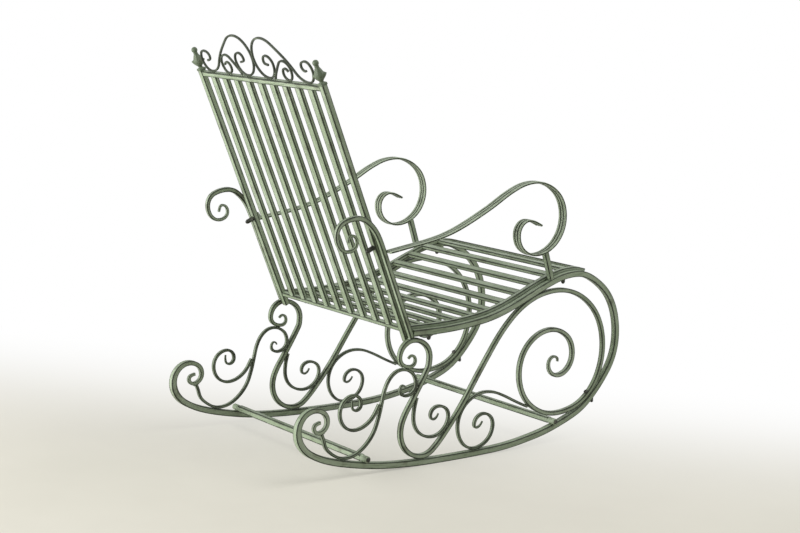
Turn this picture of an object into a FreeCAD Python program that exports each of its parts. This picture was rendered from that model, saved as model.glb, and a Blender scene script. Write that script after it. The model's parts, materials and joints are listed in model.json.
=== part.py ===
import FreeCAD, Part
import math
import os
from collections import namedtuple

Vec = FreeCAD.Vector

# Driving dimensions in millimetres: x across the chair, y to the rear, z up, sitter facing -y.
SIDE_X = 265.0            # middle plane of each side frame
RAIL = 16.0               # square tube of the rocker rails
LEG = 12.0                # square bar of the scroll legs and the uprights
SCROLL_WIDTH = 9.0        # small scrolls, across the chair
SCROLL_THICK = 7.0        # small scrolls, in the plane of the side frame
ARM_X = 274.5
ARM_WIDTH = 26.0
ARM_THICK = 6.0
POST = 14.0
WELD_GAP = 0.15           # clearance left where two pieces meet at a weld

TIP = 0.45                # section of a drawn-out tip, against the full bar
RAIL_TAPER = 230.0        # lengths over which the bars are drawn out to their tips
LEG_SPIRAL_TAPER = 125.0
LEG_TOP_TAPER = 140.0
UPRIGHT_TAPER = 220.0
SCROLL_TAPER = 45.0

SEAT_BAR_INNER = 243.0
SEAT_BAR_WIDTH = 13.5
SEAT_BAR_HEIGHT = 11.0
SEAT_RISE = 8.0           # top of the seat over the seat rail
SEAT_SLATS = 11
SEAT_SLAT_PITCH = 56.0
SLAT_WIDTH = 20.0
SLAT_THICK = 10.0

RECLINE = 26.0            # lean of the back from the vertical, degrees
BACK_FOOT_Y = 59.0        # where the back's middle plane crosses height BACK_FOOT_Z
BACK_FOOT_Z = 315.0
STILE_X = 245.5
STILE_WIDTH = 16.0
STILE_DEPTH = 14.0
STILE_BOTTOM = -12.0      # heights on the back are measured along its slope
STILE_TOP = 668.0
BACK_SLATS = 9
BOTTOM_RAIL = (16.0, 28.0)
TOP_RAIL = (654.0, 667.0)
CROSS_RAIL_DEPTH = 12.0
CREST_BAR = 5.0

BOLT_R = 3.0
HOLE_R = 3.3
NUT_CLEARANCE = 0.05      # between a nut's bore and its bolt
NUT_FLATS = 10.0
NUT_HEIGHT = 7.0          # of the hexagon, without its dome
BACK_NUT_HEIGHT = 18.0
DOME_R = 4.9
HEAD_R = 6.0
HEAD_HEIGHT = 3.6
HEAD_ROUNDING = 2.5
WASHER_R = 6.5
RAIL_WASHER_R = 8.5
WASHER_THICK = 1.2
TAB_THICK = 4.0
TAB_HALF = 10.0
TAB_REACH = 7.0           # past the stile's middle
LUG_HALF = 20.0
LUG_DROP = 5.0            # below the seat rail
LUG_GAP = 1.0             # between a lug and the bent seat bar over it
STUD_SINK = 0.5           # end of a seat bolt under the top of its seat bar
RAIL_BOLT_STAND = 1.0     # rail bolt's head over the leg

BACK_BOLT_HEIGHT = 252.0
SEAT_BOLT_Y = (-14.0, -474.0)
REAR_STRETCHER_Y = 184.0
FRONT_STRETCHER_Y = -463.0
STRETCHER = 15.0          # square tube of the stretchers
SLEEVE_R = 8.0            # short tubes on the runners that hold the stretchers
SLEEVE_INNER = 256.0
SLEEVE_LENGTH = 24.0
BOLT_IN_STRETCHER = 24.0
BORE_SPARE = 2.0          # bore past the end of a bolt
CUT_REACH = 60.0          # how far cutters and drills run past what they cut

REST_TILT = -0.57         # turn about x that brings the balance point over the runners' contact

# Centrelines: knots of (y, z, heading), heading in degrees with 0 to the rear, 90 up and 180 to the front.
LEG_AT_RAIL = (-589.0, 104.5, 137.0)
LEG_KNOTS = [
    (-462, 205.5, 112), (-447, 220, 0), (-429.5, 201, 270), (-466, 168, 180), (-517, 218, 90),
    (-426, 294, 0), (-322, 196, 270), (-473, 64.5, 180), LEG_AT_RAIL, (-635.5, 217, 90),
    (-440, 398, 0), (-344, 378.5, 336), (-223, 271, 305), (-67, 53, 312), (-2.5, 11.8, 0), (72, 83.5, 90),
    (53, 138, 123), (-3.5, 233, 118), (-7.5, 258, 90), (50, 308.5, 0), (89.5, 270, 270),
    (53, 243, 180), (38.5, 256, 90), (50.5, 270, 0), (61, 263.5, 305),
]
RAIL_REAR_KNOTS = [
    (321, 136.5, 352), (338.5, 124.5, 270), (323.5, 111.5, 180), (300.5, 134.5, 90), (342, 168, 0),
    (386, 122.5, 270), (350, 65.5, 211), (250, 28.5, 193), (98, 3.5, 185), (-134, -4.5, 180),
    (-341, 5, 172), (-457, 27.5, 164),
]
RAIL_FRONT = (-683.5, 247, 90)
RAIL_BOW = (-610.5, 397, 36)
SEAT_KNOTS = [
    (-505, 438, 0), (-345, 394.5, 337), (-240, 354.5, 343), (-100, 330.5, 355), (66, 326, 0),
]
SEAT_FRONT_END = (-547, 432, 15)
REAR_S_KNOTS = [
    (315.5, 107.3, 243), (293, 64, 221), (237.5, 39.5, 180), (167.5, 76.5, 129), (140, 147, 101),
    (123.5, 209.5, 118), (80, 238.2, 180), (31.8, 197, 270), (61, 171.5, 0), (82, 187, 90), (73.5, 198.5, 180),
    (65, 191, 255),
]
REAR_HOOK_KNOTS = [
    (228, 178, 280), (216, 152.8, 180), (201.5, 167.5, 90), (226, 190.5, 0), (264, 153, 270),
    (215.5, 105, 180), (169.5, 123, 139), (144.8, 159.5, 118),
]
LEG_HOOK_KNOTS = [
    (25.7, 163, 287), (32, 110, 264), (-33, 57, 180), (-83.5, 103, 90), (-47, 133, 0),
    (-23, 113, 270), (-33.5, 101, 180), (-49, 114.5, 105),
]
FRONT_C_KNOTS = [
    (-359.5, 95.5, 22), (-297, 123, 26), (-203, 151.5, 0), (-117.7, 75.5, 270), (-182, 7.5, 180),
    (-241, 60, 90), (-203, 95, 0), (-174.7, 70, 270), (-183.7, 61, 180), (-203, 75.5, 112),
]
UPRIGHT_KNOTS = [
    (269, 556, 95), (259, 573, 180), (242.5, 555, 270), (268, 535.5, 0), (304, 575, 90),
    (246, 613, 180), (195, 586.5, 226), (167, 543.5, 244),
]
UPRIGHT_STRAIGHT = 252.8  # length of the straight stretch at the foot
ARM_KNOTS = [
    (169.5, 529, 173), (87, 542, 171), (-7, 560, 166), (-100.5, 594.5, 155), (-199, 645.5, 149),
    (-317, 685.5, 180), (-430, 588, 270), (-335, 499, 0), (-267.5, 555.5, 90), (-300, 588.5, 180),
    (-344.5, 575, 206),
]
POST_FOOT = (-419, 416, 68)
POST_LENGTH = 106.0
# On the crest a knot is (distance from the middle, height on the back, heading), 0 pointing outwards.
CREST_BIG_KNOTS = [
    (56, 703.5, 172), (40.5, 712, 90), (55, 727, 0), (76, 705, 270), (44, 669.7, 180),
    (2.6, 716, 90), (54, 771.5, 0), (120, 733, 318), (197, 669.7, 0), (224, 700, 90),
    (205, 723, 180), (185.5, 709, 270), (200, 699, 20),
]
CREST_SMALL_KNOTS = [
    (67, 670, 62), (87, 697, 50), (116, 718, 0), (140, 694, 270), (122, 669.7, 180),
    (106, 685, 90), (117.5, 699, 0), (128.5, 692, 305),
]

# Finial: heights over the stile's top
FINIAL_BASE = 17.0
FINIAL_BASE_HEIGHT = 7.0
FINIAL_NECK_R = 5.0
FINIAL_BULB_R = 12.5
FINIAL_BULB_HEIGHT = 25.0
FINIAL_LEAVES = 4
FINIAL_LEAF_R = 6.0
FINIAL_LEAF_OUT = 10.0
FINIAL_LEAF_HEIGHT = 22.0
FINIAL_BALL_R = 7.5
FINIAL_BALL_HEIGHT = 54.0

STRAIGHT = 1e-7
Arc = namedtuple("Arc", "u v heading length turn")


def locate(arc, fraction, offset):
    """Place on an arc, moved sideways to its left by offset."""
    angle = arc.heading + arc.turn * fraction
    if abs(arc.turn) < STRAIGHT:
        u = arc.u + arc.length * fraction * math.cos(angle)
        v = arc.v + arc.length * fraction * math.sin(angle)
    else:
        radius = arc.length / arc.turn
        u = arc.u + radius * (math.sin(angle) - math.sin(arc.heading))
        v = arc.v - radius * (math.cos(angle) - math.cos(arc.heading))
    return u - offset * math.sin(angle), v + offset * math.cos(angle)


def arc_to(u, v, heading, end_u, end_v):
    """The arc that leaves a place along a heading and ends at another place."""
    chord = math.hypot(end_u - u, end_v - v)
    half_turn = math.atan2(end_v - v, end_u - u) - heading
    half_turn = math.atan2(math.sin(half_turn), math.cos(half_turn))
    stretch = half_turn / math.sin(half_turn) if abs(half_turn) > STRAIGHT else 1.0
    return Arc(u, v, heading, chord * stretch, 2 * half_turn)


def bend(start, end):
    """Two tangent arcs from one knot to the next."""
    (u0, v0, h0), (u1, v1, h1) = start, end
    a0 = math.radians(h0)
    a1 = math.radians(h1)
    du = u1 - u0
    dv = v1 - v0
    tangent_u = math.cos(a0) + math.cos(a1)
    tangent_v = math.sin(a0) + math.sin(a1)
    along = du * tangent_u + dv * tangent_v
    spread = 2 * (1 - math.cos(a1 - a0))
    square = du * du + dv * dv
    if spread < STRAIGHT:
        reach = square / (2 * along)
    else:
        reach = (math.sqrt(along * along + spread * square) - along) / spread
    mid_u = (u0 + u1 + reach * (math.cos(a0) - math.cos(a1))) / 2
    mid_v = (v0 + v1 + reach * (math.sin(a0) - math.sin(a1))) / 2
    first = arc_to(u0, v0, a0, mid_u, mid_v)
    second = arc_to(mid_u, mid_v, a0 + first.turn, u1, v1)
    return [first, second]


def centreline(knots):
    """All the arcs of a bent bar."""
    arcs = []
    for start, end in zip(knots, knots[1:]):
        arcs += bend(start, end)
    return arcs


def stretch(arcs, start, end):
    """The arcs of a centreline between two distances along it."""
    parts = []
    for arc in arcs:
        low = max(start / arc.length, 0.0)
        high = min(end / arc.length, 1.0)
        if high - low > STRAIGHT:
            u, v = locate(arc, low, 0)
            share = high - low
            parts.append(Arc(u, v, arc.heading + arc.turn * low, arc.length * share, arc.turn * share))
        start -= arc.length
        end -= arc.length
    return parts


def station(arcs, distance):
    """Place and heading in radians at a distance along a centreline."""
    for arc in arcs:
        if distance <= arc.length:
            fraction = distance / arc.length
            u, v = locate(arc, fraction, 0)
            return u, v, arc.heading + arc.turn * fraction
        distance -= arc.length
    last = arcs[-1]
    u, v = locate(last, 1, 0)
    return u, v, last.heading + last.turn


def station_at_y(arcs, y):
    """Place and heading where a centreline that runs rearward or forward crosses a value of y."""
    total = sum(arc.length for arc in arcs)
    low, high = 0.0, total
    rising = station(arcs, total)[0] > station(arcs, 0)[0]
    for _ in range(60):
        middle = (low + high) / 2
        if (station(arcs, middle)[0] < y) == rising:
            low = middle
        else:
            high = middle
    return station(arcs, low)


def curve(arc, offset, place):
    """Edge along an arc, moved sideways by an offset."""
    ends = [place(*locate(arc, fraction, offset)) for fraction in (0, 0.5, 1)]
    straight = abs(arc.turn) < STRAIGHT
    return (Part.LineSegment(ends[0], ends[2]) if straight else Part.Arc(*ends)).toShape()


def band(arcs, low, high, place):
    """Flat face between two sideways offsets of a centreline."""
    edges = [curve(arc, offset, place) for offset in (low, high) for arc in arcs]
    for arc, fraction in ((arcs[0], 0), (arcs[-1], 1)):
        ends = [place(*locate(arc, fraction, offset)) for offset in (low, high)]
        edges.append(Part.LineSegment(*ends).toShape())
    return Part.Face(Part.Wire(Part.__sortEdges__(edges)))


def side_band(arcs, width, low, high, middle_x):
    """Bar of even section along arcs in a plane of constant x, on the sitter's right."""
    start_x = -middle_x - width / 2
    return band(arcs, low, high, lambda y, z: Vec(start_x, y, z)).extrude(Vec(width, 0, 0))


def section(arc, fraction, width, thick, middle_x):
    """Outline across a bar at a place on an arc."""
    corners = []
    for x, offset in ((-width, -thick), (-width, thick), (width, thick), (width, -thick)):
        corners.append(Vec(x / 2 - middle_x, *locate(arc, fraction, offset / 2)))
    return Part.makePolygon(corners + corners[:1])


def drawn_out(arcs, scales, width, thick, middle_x):
    """Bar along arcs whose section changes evenly between two scales."""
    spine = [curve(arc, 0, lambda y, z: Vec(-middle_x, y, z)) for arc in arcs]
    sweep = Part.BRepOffsetAPI.MakePipeShell(Part.Wire(spine))
    sweep.setBiNormalMode(Vec(1, 0, 0))
    for arc, fraction, scale in ((arcs[0], 0, scales[0]), (arcs[-1], 1, scales[1])):
        sweep.add(section(arc, fraction, width * scale, thick * scale, middle_x))
    sweep.build()
    sweep.makeSolid()
    return sweep.shape()


def side_bar(knots, width, thick, middle_x, start_taper=0.0, end_taper=0.0):
    """Bent bar of a side frame, drawn out to a thin tip over a length at its start, its end or both."""
    arcs = centreline(knots)
    total = sum(arc.length for arc in arcs)
    bar = side_band(stretch(arcs, start_taper, total - end_taper), width, -thick / 2, thick / 2, middle_x)
    if start_taper:
        bar = bar.fuse(drawn_out(stretch(arcs, 0, start_taper), (TIP, 1), width, thick, middle_x))
    if end_taper:
        bar = bar.fuse(drawn_out(stretch(arcs, total - end_taper, total), (1, TIP), width, thick, middle_x))
    return bar


LEAN = math.radians(RECLINE)
BACK_UP = Vec(0, math.sin(LEAN), math.cos(LEAN))
BACK_REAR = Vec(0, math.cos(LEAN), -math.sin(LEAN))
BACK_FOOT = Vec(0, BACK_FOOT_Y, BACK_FOOT_Z)


def on_back(x, height, rearward=0.0):
    return Vec(x, 0, 0) + BACK_FOOT + BACK_UP * height + BACK_REAR * rearward


def turned(shape, angle, place):
    """Turn a shape made at the origin about x, in radians, and move it to its place."""
    shape.rotate(Vec(0, 0, 0), Vec(1, 0, 0), math.degrees(angle))
    shape.translate(place)
    return shape


def block(x_range, along_range, up_range, angle, place):
    """Box given by its ranges across x, along a local y and a local z, turned about x at its place."""
    size = [high - low for low, high in (x_range, along_range, up_range)]
    corner = Vec(x_range[0], along_range[0], up_range[0])
    return turned(Part.makeBox(*size, corner), angle, place)


def back_block(x_range, height_range, rear_range):
    """Box square to the back."""
    return block(x_range, rear_range, height_range, -LEAN, BACK_FOOT)


def far_side(place, direction, size):
    """Box that starts at a plane and lies on the side that the direction points to."""
    box = Part.makeBox(size, size, size, Vec(-size / 2, -size / 2, 0))
    box.Placement = FreeCAD.Placement(place, FreeCAD.Rotation(Vec(0, 0, 1), direction))
    return box


def rod(place, direction, radius, low, high):
    """Cylinder on an axis, between two distances from a place."""
    return Part.makeCylinder(radius, high - low, place + direction * low, direction)


def hexagon(place, direction, across_flats, low, high):
    """Six-sided prism on an axis, between two distances from a place."""
    radius = across_flats / math.sqrt(3)
    angles = [k * math.pi / 3 for k in range(7)]
    corners = [Vec(radius * math.cos(angle), radius * math.sin(angle), low) for angle in angles]
    prism = Part.Face(Part.makePolygon(corners)).extrude(Vec(0, 0, high - low))
    prism.Placement = FreeCAD.Placement(place, FreeCAD.Rotation(Vec(0, 0, 1), direction))
    return prism


def bolt(place, direction, end):
    """Low round head under the place and a shank that runs along the direction to its end."""
    head = rod(place, direction, HEAD_R, -HEAD_HEIGHT, 0)
    heights = {edge: (edge.CenterOfMass - place).dot(direction) for edge in head.Edges}
    top = min(heights.values())
    rim = [edge for edge, height in heights.items() if height - top < WELD_GAP]
    head = head.makeFillet(HEAD_ROUNDING, rim)
    return head.fuse(rod(place, direction, BOLT_R, 0, end)).removeSplitter()


def cap_nut(place, direction, low, height=NUT_HEIGHT, washer_r=WASHER_R):
    """Hexagon nut with a closed dome, on a washer, bored for a bolt that ends at the top of the hexagon."""
    base = low + WASHER_THICK
    top = base + height
    washer = rod(place, direction, washer_r, low, base)
    dome = Part.makeSphere(DOME_R, place + direction * top)
    body = hexagon(place, direction, NUT_FLATS, base, top).multiFuse([washer, dome]).removeSplitter()
    return body.cut(rod(place, direction, BOLT_R + NUT_CLEARANCE, low - CUT_REACH, top + BORE_SPARE))


def both_sides(shape):
    """A piece on the sitter's right and its mirror image on the left."""
    return {"right": shape, "left": shape.mirror(Vec(0, 0, 0), Vec(1, 0, 0))}


def moved_across(shape, middle_x):
    """The left copy of a right-hand bar, which is alike on both sides of its own middle plane."""
    return shape.translated(Vec(2 * middle_x, 0, 0))


def group(shapes):
    """Separate solids of one node, on both sides of the chair."""
    mirrored = [shape.mirror(Vec(0, 0, 0), Vec(1, 0, 0)) for shape in shapes]
    return Part.makeCompound(shapes + mirrored)


def rail_contact():
    """Where the rocker rail runs against the front of the scroll leg, and the way out of both."""
    y, z, heading = LEG_AT_RAIL
    angle = math.radians(heading)
    outward = Vec(0, -math.sin(angle), math.cos(angle))
    reach = (LEG + RAIL) / 2 + WELD_GAP
    return Vec(-SIDE_X, y, z), outward, (y + reach * outward.y, z + reach * outward.z, heading)


def straight_on(knot, length):
    """The knot straight ahead of another."""
    y, z, heading = knot
    angle = math.radians(heading)
    return y + length * math.cos(angle), z + length * math.sin(angle), heading


LEG_POINT, OUTWARD, RAIL_AT_LEG = rail_contact()
UPRIGHT_FOOT = straight_on(UPRIGHT_KNOTS[-1], UPRIGHT_STRAIGHT)
RAIL_KNOTS = RAIL_REAR_KNOTS + [RAIL_AT_LEG, RAIL_FRONT, RAIL_BOW] + SEAT_KNOTS
SEAT_LINE = centreline([SEAT_FRONT_END] + SEAT_KNOTS)
RUNNER_LINE = centreline(RAIL_REAR_KNOTS[5:])
# Heights over the seat rail's centreline
SEAT_TOP = RAIL / 2 + SEAT_RISE
SEAT_LOW = SEAT_TOP - SEAT_BAR_HEIGHT
LUG_BOTTOM = -RAIL / 2 - LUG_DROP


def behind_upright(near):
    """Box behind the front face of the right upright, around a knot of its straight stretch."""
    y, z, heading = near
    angle = math.radians(heading)
    forward = Vec(0, math.sin(angle), -math.cos(angle))
    place = Vec(-SIDE_X, y, z) + forward * (LEG / 2 + WELD_GAP)
    return far_side(place, forward * -1, 4 * RAIL)


def side_frame():
    """Welded pieces of the right side frame."""
    rail = side_bar(RAIL_KNOTS, RAIL, RAIL, SIDE_X, start_taper=RAIL_TAPER)
    leg = side_bar(LEG_KNOTS, LEG, LEG, SIDE_X, LEG_SPIRAL_TAPER, LEG_TOP_TAPER)
    hole = rod(LEG_POINT, OUTWARD, HOLE_R, -LEG, LEG + RAIL)
    upright = side_bar(UPRIGHT_KNOTS + [UPRIGHT_FOOT], LEG, LEG, SIDE_X, start_taper=UPRIGHT_TAPER)
    arm = side_bar(ARM_KNOTS, ARM_WIDTH, ARM_THICK, ARM_X)
    curl = centreline(ARM_KNOTS[5:8])
    arm_cutter = side_band(curl, 4 * POST, -ARM_THICK / 2 - WELD_GAP, CUT_REACH, SIDE_X)
    seat_rail = centreline(SEAT_KNOTS)
    rail_cutter = side_band(seat_rail, 4 * POST, -CUT_REACH, RAIL / 2 + WELD_GAP, SIDE_X)
    post = side_bar([POST_FOOT, straight_on(POST_FOOT, POST_LENGTH)], POST, POST, SIDE_X)
    pieces = {
        "rocker_rail": rail.cut(behind_upright(UPRIGHT_FOOT)).cut(hole),
        "scroll_leg": leg.cut(hole),
        "upright": upright,
        "armrest": arm.cut(behind_upright(UPRIGHT_KNOTS[-1])),
        "arm_post": post.cut(rail_cutter).cut(arm_cutter),
    }
    scrolls = {
        "rear_s_scroll": (REAR_S_KNOTS, 0.0, SCROLL_TAPER),
        "rear_hook_scroll": (REAR_HOOK_KNOTS, SCROLL_TAPER, 0.0),
        "leg_hook_scroll": (LEG_HOOK_KNOTS, 0.0, SCROLL_TAPER),
        "front_c_scroll": (FRONT_C_KNOTS, 0.0, SCROLL_TAPER),
    }
    for name, (knots, start_taper, end_taper) in scrolls.items():
        pieces[name] = side_bar(knots, SCROLL_WIDTH, SCROLL_THICK, SIDE_X, start_taper, end_taper)
    return pieces


def finial():
    """Cast finial for the right stile: square base, leafy bulb and ball."""
    half = FINIAL_BASE / 2
    base = Part.makeBox(FINIAL_BASE, FINIAL_BASE, FINIAL_BASE_HEIGHT, Vec(-half, -half, 0))
    neck = Part.makeCylinder(FINIAL_NECK_R, FINIAL_BALL_HEIGHT, Vec(0, 0, 0))
    bulb = Part.makeSphere(FINIAL_BULB_R, Vec(0, 0, FINIAL_BULB_HEIGHT))
    ball = Part.makeSphere(FINIAL_BALL_R, Vec(0, 0, FINIAL_BALL_HEIGHT))
    leaves = []
    for k in range(FINIAL_LEAVES):
        angle = 2 * math.pi * (k + 0.5) / FINIAL_LEAVES
        out = Vec(math.cos(angle), math.sin(angle), 0) * FINIAL_LEAF_OUT
        leaves.append(Part.makeSphere(FINIAL_LEAF_R, out + Vec(0, 0, FINIAL_LEAF_HEIGHT)))
    body = base.multiFuse([neck, bulb, ball] + leaves).removeSplitter()
    return turned(body, -LEAN, on_back(-STILE_X, STILE_TOP + WELD_GAP))


def crest_bar(knots):
    """Bent bar of the crest on the sitter's right."""
    face = band(
        centreline(knots), -CREST_BAR / 2, CREST_BAR / 2,
        lambda out, height: on_back(-out, height, -CREST_BAR / 2),
    )
    return face.extrude(BACK_REAR * CREST_BAR)


def back_pieces():
    """Stiles, cross rails, slats, crest and finials."""
    nodes = {}
    half_depth = STILE_DEPTH / 2
    bolt_hole = rod(on_back(-STILE_X, BACK_BOLT_HEIGHT), BACK_REAR, HOLE_R, -CUT_REACH, CUT_REACH)
    stile = back_block(
        (-STILE_X - STILE_WIDTH / 2, -STILE_X + STILE_WIDTH / 2),
        (STILE_BOTTOM, STILE_TOP), (-half_depth, half_depth),
    )
    pairs = {
        "back_stile": stile.cut(bolt_hole),
        "finial": finial(),
        "crest_scroll": crest_bar(CREST_BIG_KNOTS),
        "crest_curl": crest_bar(CREST_SMALL_KNOTS),
    }
    for name, shape in pairs.items():
        for side, piece in both_sides(shape).items():
            nodes[f"{side}_{name}"] = piece
    clear = STILE_X - STILE_WIDTH / 2 - WELD_GAP
    rail_half = CROSS_RAIL_DEPTH / 2
    for name, heights in (("back_bottom_rail", BOTTOM_RAIL), ("back_top_rail", TOP_RAIL)):
        nodes[name] = back_block((-clear, clear), heights, (-rail_half, rail_half))
    pitch = 2 * STILE_X / (BACK_SLATS + 1)
    heights = (BOTTOM_RAIL[1] + WELD_GAP, TOP_RAIL[0] - WELD_GAP)
    for k in range(BACK_SLATS):
        middle = -STILE_X + pitch * (k + 1)
        across = (middle - SLAT_WIDTH / 2, middle + SLAT_WIDTH / 2)
        nodes[f"back_slat_{k + 1}"] = back_block(across, heights, (-SLAT_THICK / 2, SLAT_THICK / 2))
    return nodes


def seat_stations():
    """Place and heading of the seat rail at each seat bolt."""
    return [station_at_y(SEAT_LINE, y) for y in SEAT_BOLT_Y]


SEAT_BOLT_X = -(SEAT_BAR_INNER + SEAT_BAR_WIDTH / 2)


def seat_bolt_axes():
    """Point on the seat rail's centreline height and upward direction, for each right-hand seat bolt."""
    axes = []
    for y, z, heading in seat_stations():
        axes.append((Vec(SEAT_BOLT_X, y, z), Vec(0, -math.sin(heading), math.cos(heading))))
    return axes


def seat_pieces():
    """Side bars and slats of the seat, and the lugs that carry it."""
    nodes = {}
    face = band(SEAT_LINE, SEAT_LOW, SEAT_TOP, lambda y, z: Vec(-SEAT_BAR_INNER - SEAT_BAR_WIDTH, y, z))
    bar = face.extrude(Vec(SEAT_BAR_WIDTH, 0, 0))
    stile_front = on_back(0, 0, -STILE_DEPTH / 2 - WELD_GAP)
    bar = bar.cut(far_side(stile_front, BACK_REAR, 4 * SIDE_X))
    lugs = []
    for (y, z, heading), (point, up) in zip(seat_stations(), seat_bolt_axes()):
        hole = rod(point, up, HOLE_R, -CUT_REACH, CUT_REACH)
        bar = bar.cut(hole)
        across = (-SIDE_X + RAIL / 2 + WELD_GAP, -SEAT_BAR_INNER)
        lug_heights = (LUG_BOTTOM, SEAT_LOW - LUG_GAP)
        lug = block(across, (-LUG_HALF, LUG_HALF), lug_heights, heading, Vec(0, y, z))
        lugs.append(lug.cut(hole))
    for side, piece in both_sides(bar).items():
        nodes[f"{side}_seat_bar"] = piece
    clear = SEAT_BAR_INNER - WELD_GAP
    for k in range(SEAT_SLATS):
        y, z, heading = station(SEAT_LINE, SLAT_WIDTH / 2 + SEAT_SLAT_PITCH * k)
        half = SLAT_WIDTH / 2
        slat = block((-clear, clear), (-half, half), (SEAT_TOP - SLAT_THICK, SEAT_TOP), heading, Vec(0, y, z))
        nodes[f"seat_slat_{k + 1}"] = slat
    nodes["seat_lugs"] = group(lugs)
    return nodes


def stretcher_frame(y):
    """Middle of the runners' centrelines under a stretcher, and the way up from them."""
    y, z, heading = station_at_y(RUNNER_LINE, y)
    return Vec(0, y, z), Vec(0, math.sin(heading), -math.cos(heading))


def stretcher_axis(y):
    """Middle of a stretcher and of the sleeves at its ends."""
    middle, up = stretcher_frame(y)
    return middle + up * (RAIL / 2 + SLEEVE_R + WELD_GAP)


def stretcher(y):
    """Square tube across the chair, bored at its ends for the bolts."""
    half = STRETCHER / 2
    reach = SLEEVE_INNER - WELD_GAP
    axis = stretcher_axis(y)
    bar = block((-reach, reach), (-half, half), (-half, half), 0, axis)
    bore_start = SLEEVE_INNER - BOLT_IN_STRETCHER - BORE_SPARE
    for sign in (-1, 1):
        bore = rod(axis, Vec(sign, 0, 0), HOLE_R, bore_start, SLEEVE_INNER)
        bar = bar.cut(bore)
    return bar


def sleeves():
    """Short tubes on top of the right runner."""
    tubes = []
    for y in (REAR_STRETCHER_Y, FRONT_STRETCHER_Y):
        axis = stretcher_axis(y)
        tube = rod(axis, Vec(-1, 0, 0), SLEEVE_R, SLEEVE_INNER, SLEEVE_INNER + SLEEVE_LENGTH)
        tubes.append(tube.cut(rod(axis, Vec(-1, 0, 0), HOLE_R, 0, 2 * SIDE_X)))
    return tubes


def fasteners():
    """Bolts, nuts and tabs, each kind in a node of its own."""
    nuts = []
    seat_bolts = []
    for point, up in seat_bolt_axes():
        place = point + up * SEAT_TOP
        seat_grip = SEAT_TOP - LUG_BOTTOM + WELD_GAP
        seat_end = seat_grip + WASHER_THICK + NUT_HEIGHT
        seat_bolts.append(rod(place, up * -1, BOLT_R, STUD_SINK, seat_end))
        nuts.append(cap_nut(place, up * -1, seat_grip))

    tab_rear = -STILE_DEPTH / 2 - WELD_GAP
    tab_front = tab_rear - TAB_THICK
    inner = -SIDE_X + LEG / 2 + WELD_GAP
    tab_heights = (BACK_BOLT_HEIGHT - TAB_HALF, BACK_BOLT_HEIGHT + TAB_HALF)
    tab = back_block((inner, -STILE_X + TAB_REACH), tab_heights, (tab_front, tab_rear))
    axis = on_back(-STILE_X, BACK_BOLT_HEIGHT)
    tab = tab.cut(rod(axis, BACK_REAR, HOLE_R, -CUT_REACH, CUT_REACH))
    head = axis + BACK_REAR * (tab_front - WELD_GAP)
    back_grip = TAB_THICK + STILE_DEPTH + 3 * WELD_GAP
    back_bolt = bolt(head, BACK_REAR, back_grip + WASHER_THICK + BACK_NUT_HEIGHT)
    nuts.append(cap_nut(head, BACK_REAR, back_grip, BACK_NUT_HEIGHT))

    head = LEG_POINT - OUTWARD * (LEG / 2 + RAIL_BOLT_STAND)
    rail_grip = LEG + RAIL + RAIL_BOLT_STAND + 3 * WELD_GAP
    rail_bolt = bolt(head, OUTWARD, rail_grip + WASHER_THICK + NUT_HEIGHT)
    nuts.append(cap_nut(head, OUTWARD, rail_grip, washer_r=RAIL_WASHER_R))

    stretcher_bolts = []
    head_x = -SLEEVE_INNER - SLEEVE_LENGTH - WELD_GAP
    for y in (REAR_STRETCHER_Y, FRONT_STRETCHER_Y):
        place = stretcher_axis(y) + Vec(head_x, 0, 0)
        stretcher_bolts.append(bolt(place, Vec(1, 0, 0), SLEEVE_LENGTH + BOLT_IN_STRETCHER))
    return {
        "seat_bolts": group(seat_bolts),
        "back_tabs": group([tab]),
        "back_bolts": group([back_bolt]),
        "rail_bolts": group([rail_bolt]),
        "stretcher_sleeves": group(sleeves()),
        "stretcher_bolts": group(stretcher_bolts),
        "cap_nuts": group(nuts),
    }


def all_nodes():
    nodes = {}
    for name, shape in side_frame().items():
        nodes[f"right_{name}"] = shape
        nodes[f"left_{name}"] = moved_across(shape, ARM_X if name == "armrest" else SIDE_X)
    nodes.update(back_pieces())
    nodes.update(seat_pieces())
    nodes["rear_stretcher"] = stretcher(REAR_STRETCHER_Y)
    nodes["front_stretcher"] = stretcher(FRONT_STRETCHER_Y)
    nodes.update(fasteners())
    return nodes


def settle(nodes):
    """Turn the chair to its rest and put the origin on the floor, in the middle of its footprint."""
    for shape in nodes.values():
        shape.rotate(Vec(0, 0, 0), Vec(1, 0, 0), REST_TILT)
    box = Part.makeCompound(list(nodes.values())).BoundBox
    shift = Vec(-box.Center.x, -box.Center.y, -box.ZMin)
    for shape in nodes.values():
        shape.translate(shift)
    print("origin moved by", shift)
    return nodes


def main():
    os.makedirs("parts", exist_ok=True)
    nodes = settle(all_nodes())
    for name, shape in nodes.items():
        if not shape.isValid():
            print("not valid:", name)
        shape.exportStep(f"parts/{name}.step")
    whole = Part.makeCompound(list(nodes.values()))
    weight = sum(shape.Volume for shape in nodes.values())
    balance = Vec(0, 0, 0)
    for shape in nodes.values():
        for solid in shape.Solids:
            balance += solid.CenterOfMass * (solid.Volume / weight)
    print(len(nodes), "nodes", whole.BoundBox, "volume", weight, "balance", balance)


main()
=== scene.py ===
"""Looks of an outdoor rocking chair: bent painted bars, slats, cast finials and dark fasteners.

Lengths are metres in the chair's frame: +X to the sitter's left, +Y to the rear, +Z up, floor at 0.
Knots of bent bars are in millimetres, drawn before the chair is tipped to its rest.
"""
import json
import logging
import math
from dataclasses import dataclass, field
from enum import Enum
from typing import NamedTuple

import bmesh
import bpy
import numpy as np
from mathutils import Matrix, Vector

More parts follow.
